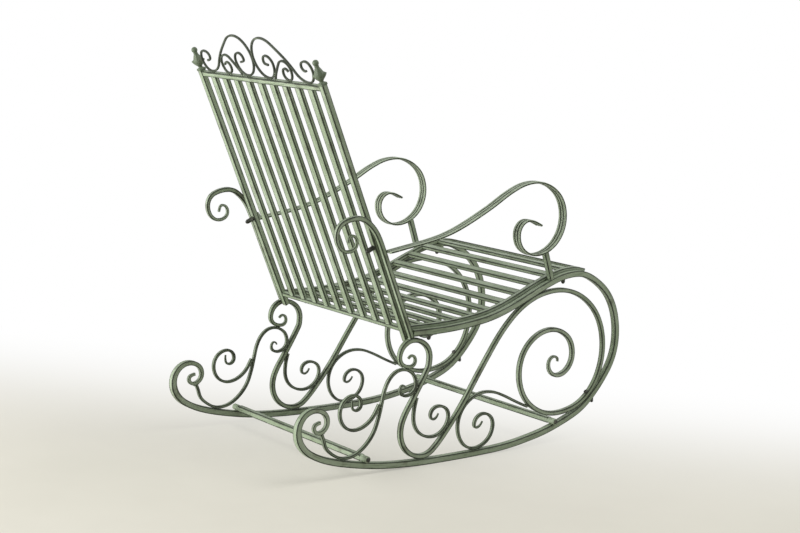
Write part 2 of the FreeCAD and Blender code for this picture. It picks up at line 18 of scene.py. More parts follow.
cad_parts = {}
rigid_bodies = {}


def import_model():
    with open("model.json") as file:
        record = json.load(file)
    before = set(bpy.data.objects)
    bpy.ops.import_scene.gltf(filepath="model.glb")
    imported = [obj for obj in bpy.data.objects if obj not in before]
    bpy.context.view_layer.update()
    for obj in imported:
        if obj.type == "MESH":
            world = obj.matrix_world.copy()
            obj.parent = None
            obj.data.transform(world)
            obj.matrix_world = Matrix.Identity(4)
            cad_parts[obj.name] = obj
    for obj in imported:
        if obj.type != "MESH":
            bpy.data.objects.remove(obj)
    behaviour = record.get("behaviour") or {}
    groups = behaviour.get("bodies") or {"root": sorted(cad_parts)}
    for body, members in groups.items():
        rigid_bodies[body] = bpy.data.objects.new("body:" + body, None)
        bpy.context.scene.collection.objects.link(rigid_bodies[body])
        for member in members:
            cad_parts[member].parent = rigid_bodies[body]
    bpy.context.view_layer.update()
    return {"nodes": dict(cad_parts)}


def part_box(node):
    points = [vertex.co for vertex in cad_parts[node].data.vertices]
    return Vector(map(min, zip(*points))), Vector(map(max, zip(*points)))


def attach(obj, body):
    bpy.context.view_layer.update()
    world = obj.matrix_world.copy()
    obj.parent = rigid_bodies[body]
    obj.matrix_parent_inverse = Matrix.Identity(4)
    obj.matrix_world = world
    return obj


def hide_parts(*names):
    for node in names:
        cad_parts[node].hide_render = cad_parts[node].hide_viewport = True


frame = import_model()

log = logging.getLogger("rocking_chair")

MM = 0.001
BODY = "root"
REST_TILT = -0.57          # tip of the drawn chair about X at rest, in degrees
GAP = 0.15                 # between pieces that are welded or bolted together, in millimetres
NEARLY_STRAIGHT = 1e-7     # least turn of an arc, in radians
CORNER = "corner"          # attribute: 1 on a bar's corners, 0 on its flat faces
RUN = "run"                # attribute: distance along a bar
AROUND = "around"          # attribute: distance around a bar's section
BATCH = "batch"            # attribute: a number of its own for each bar and slat
AXIS = "axis"              # attribute: the way a fastener, finial or weld bead points

Knot = tuple[float, float, float]
Span = tuple[float, float]
Colour = tuple[float, float, float, float]

WHITE: Colour = (1.0, 1.0, 1.0, 1.0)


class Side(Enum):
    """The two side frames, named for the sitter."""

    RIGHT = -1
    LEFT = 1

    @property
    def word(self) -> str:
        """Prefix of this side's piece names."""
        return self.name.lower()


class Section(Enum):
    """Cross sections of the bars."""

    PLAIN = "plain"
    REEDED = "reeded"


class Slot(Enum):
    """Material slots of the record."""

    PAINT = "sage_paint"
    DARK = "dark_fasteners"


def linear(red: float, green: float, blue: float) -> Colour:
    """Turn a colour as seen on a screen, 0 to 255, into light values.

    Args:
        red, green, blue: screen values.

    Returns:
        The three light values, 0 to 1, and full cover.
    """
    def one(value: float) -> float:
        """Light value of one channel."""
        share = value / 255
        return share / 12.92 if share <= 0.04045 else ((share + 0.055) / 1.055) ** 2.4

    return one(red), one(green), one(blue), 1.0


def moved(knot: Knot, ahead: float = 0.0, left: float = 0.0) -> Knot:
    """Move a knot along its heading and square to it."""
    u, v, heading = knot
    cos, sin = math.cos(math.radians(heading)), math.sin(math.radians(heading))
    return u + ahead * cos - left * sin, v + ahead * sin + left * cos, heading


@dataclass(frozen=True)
class Arc:
    """One arc of a bar's centreline: start, heading in radians, length and turn."""

    u: float
    v: float
    heading: float
    length: float
    turn: float

    def place(self, share: float) -> tuple[float, float, float]:
        """Find a place on the arc.

        Args:
            share: how far along the arc, 0 to 1.

        Returns:
            The place's two coordinates and its heading.
        """
        angle = self.heading + self.turn * share
        if abs(self.turn) < NEARLY_STRAIGHT:
            run = self.length * share
            return self.u + run * math.cos(angle), self.v + run * math.sin(angle), angle
        radius = self.length / self.turn
        u = self.u + radius * (math.sin(angle) - math.sin(self.heading))
        v = self.v - radius * (math.cos(angle) - math.cos(self.heading))
        return u, v, angle


class BarLine:
    """Centreline of a bent bar: tangent arcs through its knots, in millimetres."""

    STEP_TURN = math.radians(5.0)
    STEP_LENGTH = 9.0
    SHORTEST = 0.5
    HALVINGS = 50

    def __init__(self, knots: list[Knot]) -> None:
        """Draw the arcs.

        Args:
            knots: (u, v, heading in degrees) of each place the bar passes.
        """
        self.arcs: list[Arc] = []
        for start, end in zip(knots, knots[1:]):
            self.arcs += self._bend(start, end)
        self.length = sum(arc.length for arc in self.arcs)

    @staticmethod
    def _arc_to(u: float, v: float, heading: float, end_u: float, end_v: float) -> Arc:
        """The arc that leaves a place along a heading and ends at another place."""
        chord = math.hypot(end_u - u, end_v - v)
        half = math.atan2(end_v - v, end_u - u) - heading
        half = math.atan2(math.sin(half), math.cos(half))
        stretch = half / math.sin(half) if abs(half) > NEARLY_STRAIGHT else 1.0
        return Arc(u, v, heading, chord * stretch, 2 * half)

    @classmethod
    def _bend(cls, start: Knot, end: Knot) -> list[Arc]:
        """Two tangent arcs from one knot to the next."""
        (u0, v0, h0), (u1, v1, h1) = start, end
        a0, a1 = math.radians(h0), math.radians(h1)
        du, dv = u1 - u0, v1 - v0
        along = du * (math.cos(a0) + math.cos(a1)) + dv * (math.sin(a0) + math.sin(a1))
        spread = 2 * (1 - math.cos(a1 - a0))
        square = du * du + dv * dv
        if spread < NEARLY_STRAIGHT:
            reach = square / (2 * along)
        else:
            reach = (math.sqrt(along * along + spread * square) - along) / spread
        mid_u = (u0 + u1 + reach * (math.cos(a0) - math.cos(a1))) / 2
        mid_v = (v0 + v1 + reach * (math.sin(a0) - math.sin(a1))) / 2
        first = cls._arc_to(u0, v0, a0, mid_u, mid_v)
        return [first, cls._arc_to(mid_u, mid_v, a0 + first.turn, u1, v1)]

    def station(self, run: float) -> tuple[float, float, float]:
        """Find a place by its distance from the bar's start.

        Args:
            run: distance along the bar, in millimetres.

        Returns:
            The place's two coordinates and its heading in radians.
        """
        for arc in self.arcs:
            if run <= arc.length:
                return arc.place(run / arc.length)
            run -= arc.length
        return self.arcs[-1].place(1.0)

    def at_u(self, u: float) -> tuple[float, float, float]:
        """Find where a bar that runs steadily to one side crosses a value of u.

        Args:
            u: the first coordinate.

        Returns:
            The place's two coordinates and its heading in radians.
        """
        low, high = 0.0, self.length
        rising = self.station(high)[0] > self.station(0.0)[0]
        for _ in range(self.HALVINGS):
            middle = (low + high) / 2
            if (self.station(middle)[0] < u) == rising:
                low = middle
            else:
                high = middle
        return self.station(low)

    def points(self, start: float = 0.0, end: float = 0.0, rise: float = 0.0) -> list[Span]:
        """Lay points along the bar, closer where it bends.

        Args:
            start, end: lengths to leave out at the two ends; below 0 the bar runs on straight.
            rise: sideways shift to the left.

        Returns:
            The points' coordinates in millimetres.
        """
        stops = [start]
        run = 0.0
        for arc in self.arcs:
            parts = max(1, math.ceil(abs(arc.turn) / self.STEP_TURN), math.ceil(arc.length / self.STEP_LENGTH))
            stops += [run + arc.length * k / parts for k in range(parts)]
            run += arc.length
        stops = sorted(stop for stop in stops if start <= stop < self.length - end - self.SHORTEST)
        stops.append(self.length - end)
        laid = []
        for stop in stops:
            u, v, angle = self.station(min(max(stop, 0.0), self.length))
            beyond = min(stop, 0.0) + max(stop - self.length, 0.0)
            u += beyond * math.cos(angle) - rise * math.sin(angle)
            v += beyond * math.sin(angle) + rise * math.cos(angle)
            laid.append((u, v))
        return laid


@dataclass(frozen=True)
class Bar:
    """A bent bar: centreline, section and the lengths drawn out to its tips, in millimetres."""

    line: BarLine
    width: float
    thick: float
    rounding: float
    start_taper: float = 0.0
    end_taper: float = 0.0
    start_cut: float = 0.0
    end_cut: float = 0.0
    rise: float = 0.0

    TIP = 0.45
    STATION_STEP = 2.0
    GROUP_BREAK = 4

    @classmethod
    def straight(
        cls, low: float, high: float, width: float, thick: float, rounding: float, at: float = 0.0,
    ) -> "Bar":
        """A straight bar along u, between two values of it and at one of v."""
        return cls(BarLine([(low, at, 0), (high, at, 0)]), width, thick, rounding)

    def points(self) -> list[Span]:
        """Points along the bar, closer where it bends."""
        return self.line.points(self.start_cut, self.end_cut, self.rise)

    def half(self, run: float) -> float:
        """Half the bar's thickness at a distance from its start."""
        share = 1.0
        for length, taper in ((run, self.start_taper), (self.line.length - run, self.end_taper)):
            if taper:
                share = min(share, length / taper)
        return self.thick / 2 * (self.TIP + (1 - self.TIP) * share)

    def stations(self) -> np.ndarray:
        """Rows of both coordinates and half thickness, at even steps along the bar."""
        end = self.line.length - self.end_cut
        count = max(2, round(end / self.STATION_STEP))
        runs = [end * k / count for k in range(count + 1)]
        return np.array([(*self.line.station(run)[:2], self.half(run)) for run in runs])

    def touches(self, other: "Bar", near: float = 1.0) -> list[Knot]:
        """Find where this bar runs against another.

        Args:
            other: the other bar, drawn in the same plane.
            near: largest gap that counts.

        Returns:
            Places on the touching faces, each with the direction along them in radians.
        """
        mine, theirs = self.stations(), other.stations()
        apart = np.hypot(*(mine[:, None, k] - theirs[None, :, k] for k in (0, 1)))
        gaps = apart - mine[:, None, 2] - theirs[None, :, 2]
        closest = gaps.min(axis=1)
        groups: list[list[int]] = []
        for k in np.flatnonzero(closest < near):
            if groups and k - groups[-1][-1] <= self.GROUP_BREAK:
                groups[-1].append(k)
            else:
                groups.append([k])
        found = []
        for group in groups:
            k = min(group, key=lambda one: closest[one])
            j = gaps[k].argmin()
            across = (theirs[j, :2] - mine[k, :2]) / apart[k, j]
            u, v = theirs[j, :2] - across * theirs[j, 2]
            found.append((u, v, math.atan2(across[0], -across[1])))
        return found


@dataclass(frozen=True)
class Rest:
    """How the drawn chair stands on the floor: its tip about X and its shift."""

    tilt: float
    shift_y: float
    shift_z: float

    @classmethod
    def found(cls, tilt: float, rail: BarLine, half: float, node: str) -> "Rest":
        """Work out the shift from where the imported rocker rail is.

        Args:
            tilt: tip about X in degrees.
            rail: the rail's centreline.
            half: half the rail's thickness.
            node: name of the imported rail.

        Returns:
            The chair's rest.
        """
        turn = Matrix.Rotation(math.radians(tilt), 3, "X")
        faces = [turn @ Vector((0, u, v)) for rise in (-half, half) for u, v in rail.points(rise=rise)]
        low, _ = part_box(node)
        shift_y = low.y - min(place.y for place in faces) * MM
        shift_z = low.z - min(place.z for place in faces) * MM
        return cls(tilt, shift_y, shift_z)

    @property
    def turn(self) -> Matrix:
        """The tip as a matrix."""
        return Matrix.Rotation(math.radians(self.tilt), 3, "X")

    def place(self, x: float, y: float, z: float) -> Vector:
        """Bring a drawn place, in millimetres, into the chair's frame in metres."""
        return self.turn @ (Vector((x, y, z)) * MM) + Vector((0, self.shift_y, self.shift_z))

    def way(self, x: float, y: float, z: float) -> Vector:
        """Bring a drawn direction into the chair's frame."""
        return (self.turn @ Vector((x, y, z))).normalized()


class Nodes:
    """A node tree under construction, of a shape, a finish or the surroundings."""

    def __init__(self, tree: bpy.types.NodeTree) -> None:
        """Take hold of a tree's nodes and links."""
        self.nodes, self.links = tree.nodes, tree.links

    def add(self, kind: str, settings: dict[str, object] | None = None, **values: object) -> bpy.types.Node:
        """Add a node and fill or link its inputs.

        Args:
            kind: the node's type.
            settings: its options.
            values: input name with underscores for spaces, and a value or a socket to link.

        Returns:
            The node.
        """
        node = self.nodes.new(kind)
        for key, value in (settings or {}).items():
            setattr(node, key, value)
        self.feed_named(node, **values)
        return node

    def feed(self, socket: bpy.types.NodeSocket, value: object) -> None:
        """Give a socket a value, or link another socket to it."""
        if isinstance(value, bpy.types.NodeSocket):
            self.links.new(value, socket)
        else:
            socket.default_value = value

    def feed_named(self, node: bpy.types.Node, **values: object) -> None:
        """Feed a node's inputs by their names, with underscores for spaces."""
        for key, value in values.items():
            self.feed(node.inputs[key.replace("_", " ")], value)

    def sum(self, operation: str, *values: object) -> bpy.types.NodeSocket:
        """Add a Math node.

        Args:
            operation: what it does.
            values: its inputs in order.

        Returns:
            Its result.
        """
        node = self.add("ShaderNodeMath", {"operation": operation})
        for socket, value in zip(node.inputs, values):
            self.feed(socket, value)
        return node.outputs[0]

    def ranged(
        self, value: bpy.types.NodeSocket, start: Span, end: Span = (0.0, 1.0), slope: str = "SMOOTHSTEP",
    ) -> bpy.types.NodeSocket:
        """Map a range to another.

        Args:
            value: what is mapped.
            start, end: its range and the range it becomes.
            slope: how it goes over.

        Returns:
            The mapped value.
        """
        node = self.add(
            "ShaderNodeMapRange", {"interpolation_type": slope}, Value=value,
            From_Min=start[0], From_Max=start[1], To_Min=end[0], To_Max=end[1],
        )
        return node.outputs["Result"]

    def seen(self) -> bpy.types.NodeSocket:
        """1 for what the camera sees straight, in a mirror or through glass, else 0."""
        path = self.add("ShaderNodeLightPath").outputs
        seen = path["Is Camera Ray"]
        for name in ("Is Glossy Ray", "Is Transmission Ray"):
            seen = self.sum("MAXIMUM", seen, path[name])
        return seen


class Tree(Nodes):
    """A geometry node tree with named inputs."""

    def __init__(self, name: str) -> None:
        """Start an empty tree with a geometry input and output."""
        self.group = bpy.data.node_groups.new(name, "GeometryNodeTree")
        super().__init__(self.group)
        self.group.interface.new_socket("Geometry", in_out="OUTPUT", socket_type="NodeSocketGeometry")
        self.source = self.add("NodeGroupInput")
        self.ids: dict[str, str] = {}
        self.given, = self.take("Geometry", "Geometry")

    def take(self, kind: str, *names: str) -> list[bpy.types.NodeSocket]:
        """Add named inputs of one kind.

        Args:
            kind: last word of their socket type.
            names: what they are called.

        Returns:
            The sockets that give the inputs' values inside the tree.
        """
        for name in names:
            made = self.group.interface.new_socket(name, in_out="INPUT", socket_type=f"NodeSocket{kind}")
            self.ids[name] = made.identifier
        return [self.source.outputs[name] for name in names]

    def copies(self, shape: bpy.types.NodeSocket, **values: object) -> bpy.types.NodeSocket:
        """Set copies of a shape on the given points, each with its Z along the point's axis."""
        axis = self.add("GeometryNodeInputNamedAttribute", {"data_type": "FLOAT_VECTOR"}, Name=AXIS)
        aim = self.add("FunctionNodeAlignRotationToVector", {"axis": "Z"}, Vector=axis.outputs["Attribute"])
        made = self.add(
            "GeometryNodeInstanceOnPoints", Points=self.given, Instance=shape, Rotation=aim.outputs[0], **values,
        )
        return made.outputs[0]

    def end(self, geometry: bpy.types.NodeSocket) -> None:
        """Close the tree: realize what it placed and give it its finish."""
        finish, = self.take("Material", "Finish")
        real = self.add("GeometryNodeRealizeInstances", Geometry=geometry)
        dressed = self.add("GeometryNodeSetMaterial", Geometry=real.outputs[0], Material=finish)
        self.add("NodeGroupOutput", Geometry=dressed.outputs[0])


class SweepTree(Tree):
    """A tree that sweeps a cross section along a line and leaves marks for the paint."""

    WEAR_REACH = 0.0042
    ROUND_STEPS = 3
    CUTS = 4

    def stored(
        self, geometry: bpy.types.NodeSocket, name: str, value: bpy.types.NodeSocket, domain: str = "POINT",
    ) -> bpy.types.NodeSocket:
        """Store a number on each point or copy of a geometry under a name."""
        made = self.add(
            "GeometryNodeStoreNamedAttribute", {"data_type": "FLOAT", "domain": domain},
            Geometry=geometry, Name=name, Value=value,
        )
        return made.outputs[0]

    def measured(self, line: bpy.types.NodeSocket, name: str) -> bpy.types.NodeSocket:
        """Store the distance along a line on its points."""
        return self.stored(line, name, self.add("GeometryNodeSplineParameter").outputs["Length"])

    def flat_places(self) -> list[bpy.types.NodeSocket]:
        """The two coordinates of an outline's points."""
        place = self.add("GeometryNodeInputPosition")
        return list(self.add("ShaderNodeSeparateXYZ", Vector=place.outputs[0]).outputs)[:2]

    def marked(self, outline: bpy.types.NodeSocket, gap: bpy.types.NodeSocket) -> bpy.types.NodeSocket:
        """Store how near each point of an outline is to a corner or a groove, and its place around."""
        near = self.ranged(gap, (0.0, self.WEAR_REACH), (1.0, 0.0), "LINEAR")
        return self.measured(self.stored(outline, CORNER, near), AROUND)

    def rectangle(self, over: object, across: object, cuts: int) -> bpy.types.NodeSocket:
        """A rectangle with extra points on its sides, given by its sizes along X and Y."""
        shape = self.add("GeometryNodeCurvePrimitiveQuadrilateral", Width=over, Height=across)
        return self.add("GeometryNodeSubdivideCurve", Curve=shape.outputs[0], Cuts=cuts).outputs[0]

    def rounded(self, over: object, across: object, rounding: object) -> bpy.types.NodeSocket:
        """Marked outline of a plain bar: a rectangle with rounded corners.

        Args:
            over, across: sizes along X and Y.
            rounding: radius of the corners.

        Returns:
            The outline.
        """
        made = self.add(
            "GeometryNodeFilletCurve", {"mode": "POLY"}, Curve=self.rectangle(over, across, self.CUTS),
            Count=self.ROUND_STEPS, Radius=rounding, Limit_Radius=True,
        )
        gaps = [
            self.sum("SUBTRACT", self.sum("MULTIPLY", size, 0.5), self.sum("ABSOLUTE", part))
            for size, part in zip((over, across), self.flat_places())
        ]
        return self.marked(made.outputs[0], self.sum("MAXIMUM", *gaps))

    def swept(
        self, line: bpy.types.NodeSocket, outline: bpy.types.NodeSocket, **values: object,
    ) -> bpy.types.NodeSocket:
        """Sweep an outline along a line, with closed ends."""
        made = self.add(
            "GeometryNodeCurveToMesh", Curve=self.measured(line, RUN), Profile_Curve=outline, Fill_Caps=True,
            **values,
        )
        return made.outputs[0]

    def set_down(self, geometry: bpy.types.NodeSocket) -> None:
        """Turn and place what was swept, and close the tree."""
        turn, place = self.take("Vector", "Turn", "Place")
        made = self.add("GeometryNodeTransform", Geometry=geometry, Translation=place, Rotation=turn)
        self.end(made.outputs[0])


class BarTree(SweepTree):
    """Sweeps a bar along a line drawn in a flat plane, with ends drawn out to thin tips."""

    REED_CUTS = 31
    REED_CROWN = 0.55
    LEAST = 1e-5

    def __init__(self, section: Section) -> None:
        """Build the tree for one cross section."""
        super().__init__(f"bent_bar_{section.value}")
        width, thickness, rounding, groove, tip, batch = self.take(
            "Float", "Width", "Thickness", "Rounding", "Groove", "Tip", "Batch",
        )
        tapers = self.take("Float", "Start Taper", "End Taper")
        reeds, = self.take("Int", "Reeds")
        if section is Section.PLAIN:
            outline = self.rounded(thickness, width, rounding)
        else:
            outline = self.reeded(thickness, width, reeds, groove)
        line = self.add("GeometryNodeMeshToCurve", Mesh=self.given)
        upright = self.add("GeometryNodeSetCurveNormal", {"mode": "Z_UP"}, Curve=line.outputs[0])
        bar = self.swept(upright.outputs[0], outline, Scale=self.drawn_out(tapers, tip))
        self.set_down(self.stored(bar, BATCH, batch))

    def drawn_out(self, tapers: list[bpy.types.NodeSocket], tip: bpy.types.NodeSocket) -> bpy.types.NodeSocket:
        """Scale of the section along the bar.

        Args:
            tapers: lengths of the drawn-out start and end.
            tip: scale at a tip.

        Returns:
            The scale, 1 away from the tips.
        """
        run = self.add("GeometryNodeSplineParameter").outputs["Length"]
        left = self.sum("SUBTRACT", self.add("GeometryNodeSplineLength").outputs["Length"], run)
        share: object = 1.0
        for length, taper in zip((run, left), tapers):
            part = self.sum("DIVIDE", self.sum("ADD", length, self.LEAST), self.sum("MAXIMUM", taper, self.LEAST))
            share = self.sum("MINIMUM", part, share)
        return self.sum("MULTIPLY_ADD", share, self.sum("SUBTRACT", 1.0, tip), tip)

    def reeded(
        self, over: bpy.types.NodeSocket, wide: bpy.types.NodeSocket, reeds: bpy.types.NodeSocket,
        groove: bpy.types.NodeSocket,
    ) -> bpy.types.NodeSocket:
        """Marked outline of a flat bar with round reeds along both broad faces.

        Args:
            over, wide: sizes along X and Y.
            reeds: number of reeds on a face.
            groove: depth of the grooves between them.

        Returns:
            The outline.
        """
        outline = self.rectangle(over, wide, self.REED_CUTS)
        face, across = self.flat_places()
        share = self.sum("ADD", self.sum("DIVIDE", across, wide), 0.5)
        angle = self.sum("MULTIPLY", self.sum("MULTIPLY", share, math.pi), reeds)
        wave = self.sum("ABSOLUTE", self.sum("SINE", angle))
        depth = self.sum("MULTIPLY", self.sum("SUBTRACT", 1.0, self.sum("POWER", wave, self.REED_CROWN)), groove)
        inward = self.sum("MULTIPLY", depth, self.sum("MULTIPLY", self.sum("SIGN", face), -1.0))
        shift = self.add("ShaderNodeCombineXYZ", X=inward)
        shaped = self.add("GeometryNodeSetPosition", Geometry=outline, Offset=shift.outputs[0])
        rim = self.sum("MULTIPLY", self.sum("MINIMUM", share, self.sum("SUBTRACT", 1.0, share)), reeds)
        clear = self.sum("MAXIMUM", wave, self.sum("LESS_THAN", rim, 0.5))
        return self.marked(shaped.outputs[0], self.sum("MULTIPLY", clear, self.WEAR_REACH))


class SlatTree(SweepTree):
    """Sets straight slats at even spaces along a line, square to it."""

    LENGTH_CUTS = 23
    TRIM_LENGTHS = slice(4, 6)

    def __init__(self) -> None:
        """Build the tree."""
        super().__init__("slat_row")
        count, = self.take("Int", "Count")
        *trims, length, width, thickness, rounding, rise, batch = self.take(
            "Float", "First", "Last", "Length", "Width", "Thickness", "Rounding", "Rise", "Batch",
        )
        line = self.add("GeometryNodeMeshToCurve", Mesh=self.given)
        trimmed = self.add("GeometryNodeTrimCurve", {"mode": "LENGTH"}, Curve=line.outputs[0])
        for socket, value in zip(list(trimmed.inputs)[self.TRIM_LENGTHS], trims):
            self.feed(socket, value)
        spots = self.add("GeometryNodeCurveToPoints", {"mode": "COUNT"}, Curve=trimmed.outputs[0], Count=count)
        along = self.add(
            "FunctionNodeAlignRotationToVector", {"axis": "X", "pivot_axis": "Z"}, Vector=spots.outputs["Tangent"],
        )
        row = self.add(
            "GeometryNodeInstanceOnPoints", Points=spots.outputs[0], Rotation=along.outputs[0],
            Instance=self.slat(length, rise, self.rounded(width, thickness, rounding)),
        )
        number = self.sum("ADD", self.add("GeometryNodeInputIndex").outputs[0], batch)
        numbered = self.stored(row.outputs[0], BATCH, number, "INSTANCE")
        self.set_down(self.add("GeometryNodeRealizeInstances", Geometry=numbered).outputs[0])

    def slat(self, length: object, rise: object, outline: bpy.types.NodeSocket) -> bpy.types.NodeSocket:
        """One slat about the origin, its length along the local Z.

        Args:
            length: its length.
            rise: shift square to the line it stands on.
            outline: its cross section.

        Returns:
            The slat's mesh.
        """
        low, top = (
            self.add("ShaderNodeCombineXYZ", Y=rise, Z=self.sum("MULTIPLY", length, share)).outputs[0]
            for share in (-0.5, 0.5)
        )
        stem = self.add("GeometryNodeCurvePrimitiveLine", Start=low, End=top)
        fine = self.add("GeometryNodeSubdivideCurve", Curve=stem.outputs[0], Cuts=self.LENGTH_CUTS)
        free = self.add("GeometryNodeSetCurveNormal", {"mode": "FREE"}, Curve=fine.outputs[0], Normal=(1.0, 0.0, 0.0))
        return self.swept(free.outputs[0], outline)


class FittingTree(Tree):
    """Sets copies of a turned or cast pattern on points, each along its own axis."""

    def __init__(self) -> None:
        """Build the tree."""
        super().__init__("fittings")
        pattern, = self.take("Object", "Pattern")
        self.end(self.copies(self.add("GeometryNodeObjectInfo", Object=pattern).outputs["Geometry"]))


class WeldTree(Tree):
    """Lays small uneven weld beads on points, each long along its own axis."""

    SEED = 7.0
    RIPPLES = 330.0
    RIPPLE_SHARE = 1.4

    def __init__(self) -> None:
        """Build the tree."""
        super().__init__("weld_beads")
        length, girth = self.take("Float", "Length", "Girth")
        bead = self.add("GeometryNodeMeshIcoSphere", Radius=1.0, Subdivisions=2)
        size = self.add("ShaderNodeCombineXYZ", X=girth, Y=girth, Z=length)
        laid = self.copies(bead.outputs[0], Scale=size.outputs[0])
        real = self.add("GeometryNodeRealizeInstances", Geometry=laid)
        ripple = self.add(
            "ShaderNodeTexNoise", {"noise_dimensions": "4D"}, W=self.SEED, Scale=self.RIPPLES, Detail=2.0,
            Vector=self.add("GeometryNodeInputPosition").outputs[0],
        )
        swing = self.sum("SUBTRACT", ripple.outputs[0], 0.5)
        push = self.sum("MULTIPLY", swing, self.sum("MULTIPLY", girth, self.RIPPLE_SHARE))
        shift = self.add("ShaderNodeVectorMath", {"operation": "SCALE"}, Scale=push)
        self.feed(shift.inputs[0], self.add("GeometryNodeInputNormal").outputs[0])
        rough = self.add("GeometryNodeSetPosition", Geometry=real.outputs[0], Offset=shift.outputs[0])
        self.end(rough.outputs[0])


class Cloud(NamedTuple):
    """A noise: clouds per metre, and how broken up they are."""

    scale: float
    detail: float
    roughness: float


class Finish(Nodes):
    """A material under construction, with one glossy shader."""

    BATCH_STEP = 7.3

    def __init__(self, name: str) -> None:
        """Start the material."""
        self.material = bpy.data.materials.new(name)
        self.material.use_nodes = True
        super().__init__(self.material.node_tree)
        self.shader = self.nodes["Principled BSDF"]
        self.coordinates = self.add("ShaderNodeTexCoord").outputs["Object"]

    def noise(self, cloud: Cloud, vector: bpy.types.NodeSocket | None = None) -> bpy.types.NodeSocket:
        """Add cloudy noise.

        Args:
            cloud: its size and detail.
            vector: what it follows, instead of the place on the piece.

        Returns:
            The noise, about 0.5.
        """
        made = self.add(
            "ShaderNodeTexNoise", Vector=self.coordinates if vector is None else vector, Scale=cloud.scale,
            Detail=cloud.detail, Roughness=cloud.roughness,
        )
        return made.outputs["Fac"]

    def streaks(self, cloud: Cloud, across: float) -> bpy.types.NodeSocket:
        """Add brush streaks that follow each bar.

        Args:
            cloud: streaks per metre along the bar, and how broken up they are.
            across: streaks per metre around the bar.

        Returns:
            The streaks, about 0.5.
        """
        join = self.add("ShaderNodeCombineXYZ")
        for socket, name, scale in zip(join.inputs, (RUN, AROUND, BATCH), (cloud.scale, across, self.BATCH_STEP)):
            self.feed(socket, self.sum("MULTIPLY", self.mark(name), scale))
        return self.noise(cloud._replace(scale=1.0), join.outputs[0])

    def mark(self, name: str) -> bpy.types.NodeSocket:
        """Read a mark that the sweep left on the piece."""
        return self.add("ShaderNodeAttribute", {"attribute_name": name}).outputs["Fac"]

    def mix(self, share: object, under: object, over: object) -> bpy.types.NodeSocket:
        """Lay one colour over another.

        Args:
            share: how much of the upper colour shows.
            under, over: colours or sockets.

        Returns:
            The mixed colour.
        """
        made = self.add("ShaderNodeMix", {"data_type": "RGBA"})
        for socket, value in ((made.inputs[0], share), (made.inputs[6], under), (made.inputs[7], over)):
            self.feed(socket, value)
        return made.outputs[2]

    def bump(self, height: bpy.types.NodeSocket, strength: float, distance: float) -> None:
        """Raise the surface by a height pattern."""
        made = self.add("ShaderNodeBump", Strength=strength, Distance=distance, Height=height)
        self.feed_named(self.shader, Normal=made.outputs[0])


@dataclass(frozen=True)
class AntiquePaint:
    """Brushed grey-green paint: streaked, mottled, with dark worn corners and specks."""

    name: str
    main: Colour = linear(133, 146, 121)
    pale: Colour = linear(152, 164, 142)
    deep: Colour = linear(78, 93, 66)
    rubbed: Colour = linear(104, 106, 88)
    worn: Colour = linear(22, 28, 14)
    brush_share: float = 0.8
    rubbed_share: float = 0.6
    grain_share: float = 0.35
    speck_share: float = 0.6
    corner_share: float = 0.92
    ragged: Span = (-0.12, 0.12)
    roughness: Span = (0.42, 0.62)
    gloss: float = 0.25
    raised: float = 0.25
    relief: float = 0.0006
    broad: Cloud = Cloud(6.0, 3.0, 0.55)
    patch: Cloud = Cloud(24.0, 4.0, 0.6)
    brush: Cloud = Cloud(24.0, 4.0, 0.62)
    brush_across: float = 420.0
    grain: Cloud = Cloud(430.0, 3.0, 0.6)
    specks: Cloud = Cloud(165.0, 2.0, 0.5)

    def build(self) -> bpy.types.Material:
        """Make the material: each coat shows where its pattern passes through a range."""
        made = Finish(self.name)
        patch, grain = made.noise(self.patch), made.noise(self.grain)
        brush = made.streaks(self.brush, self.brush_across)
        corner = made.sum("ADD", made.mark(CORNER), made.ranged(patch, (0.3, 0.7), self.ragged))
        coats = (
            (made.noise(self.broad), (0.35, 0.68), 1.0, self.pale),
            (brush, (0.44, 0.76), self.brush_share, self.deep),
            (patch, (0.53, 0.72), self.rubbed_share, self.rubbed),
            (grain, (0.55, 0.8), self.grain_share, self.deep),
            (made.noise(self.specks), (0.69, 0.76), self.speck_share, self.worn),
            (corner, (0.12, 0.62), self.corner_share, self.worn),
        )
        colour: object = self.main
        for pattern, span, share, coat in coats:
            colour = made.mix(made.ranged(pattern, span, (0.0, share)), colour, coat)
        roughness = made.ranged(patch, (0.25, 0.75), self.roughness)
        made.feed_named(made.shader, Base_Color=colour, Roughness=roughness, Specular_IOR_Level=self.gloss)
        made.bump(made.sum("ADD", grain, brush), self.raised, self.relief)
        return made.material


@dataclass(frozen=True)
class DarkSteel:
    """Blackened steel of bolts and nuts."""

    name: str
    main: Colour = linear(46, 47, 40)
    rubbed: Colour = linear(92, 94, 82)
    metal: float = 0.55
    roughness: Span = (0.35, 0.6)
    raised: float = 0.2
    relief: float = 0.0003
    clouds: Cloud = Cloud(140.0, 4.0, 0.6)
    grain: Cloud = Cloud(900.0, 2.0, 0.5)

    def build(self) -> bpy.types.Material:
        """Make the material."""
        made = Finish(self.name)
        clouds = made.noise(self.clouds)
        colour = made.mix(made.ranged(clouds, (0.45, 0.75)), self.main, self.rubbed)
        roughness = made.ranged(clouds, (0.3, 0.7), self.roughness)
        made.feed_named(made.shader, Base_Color=colour, Metallic=self.metal, Roughness=roughness)
        made.bump(made.noise(self.grain), self.raised, self.relief)
        return made.material


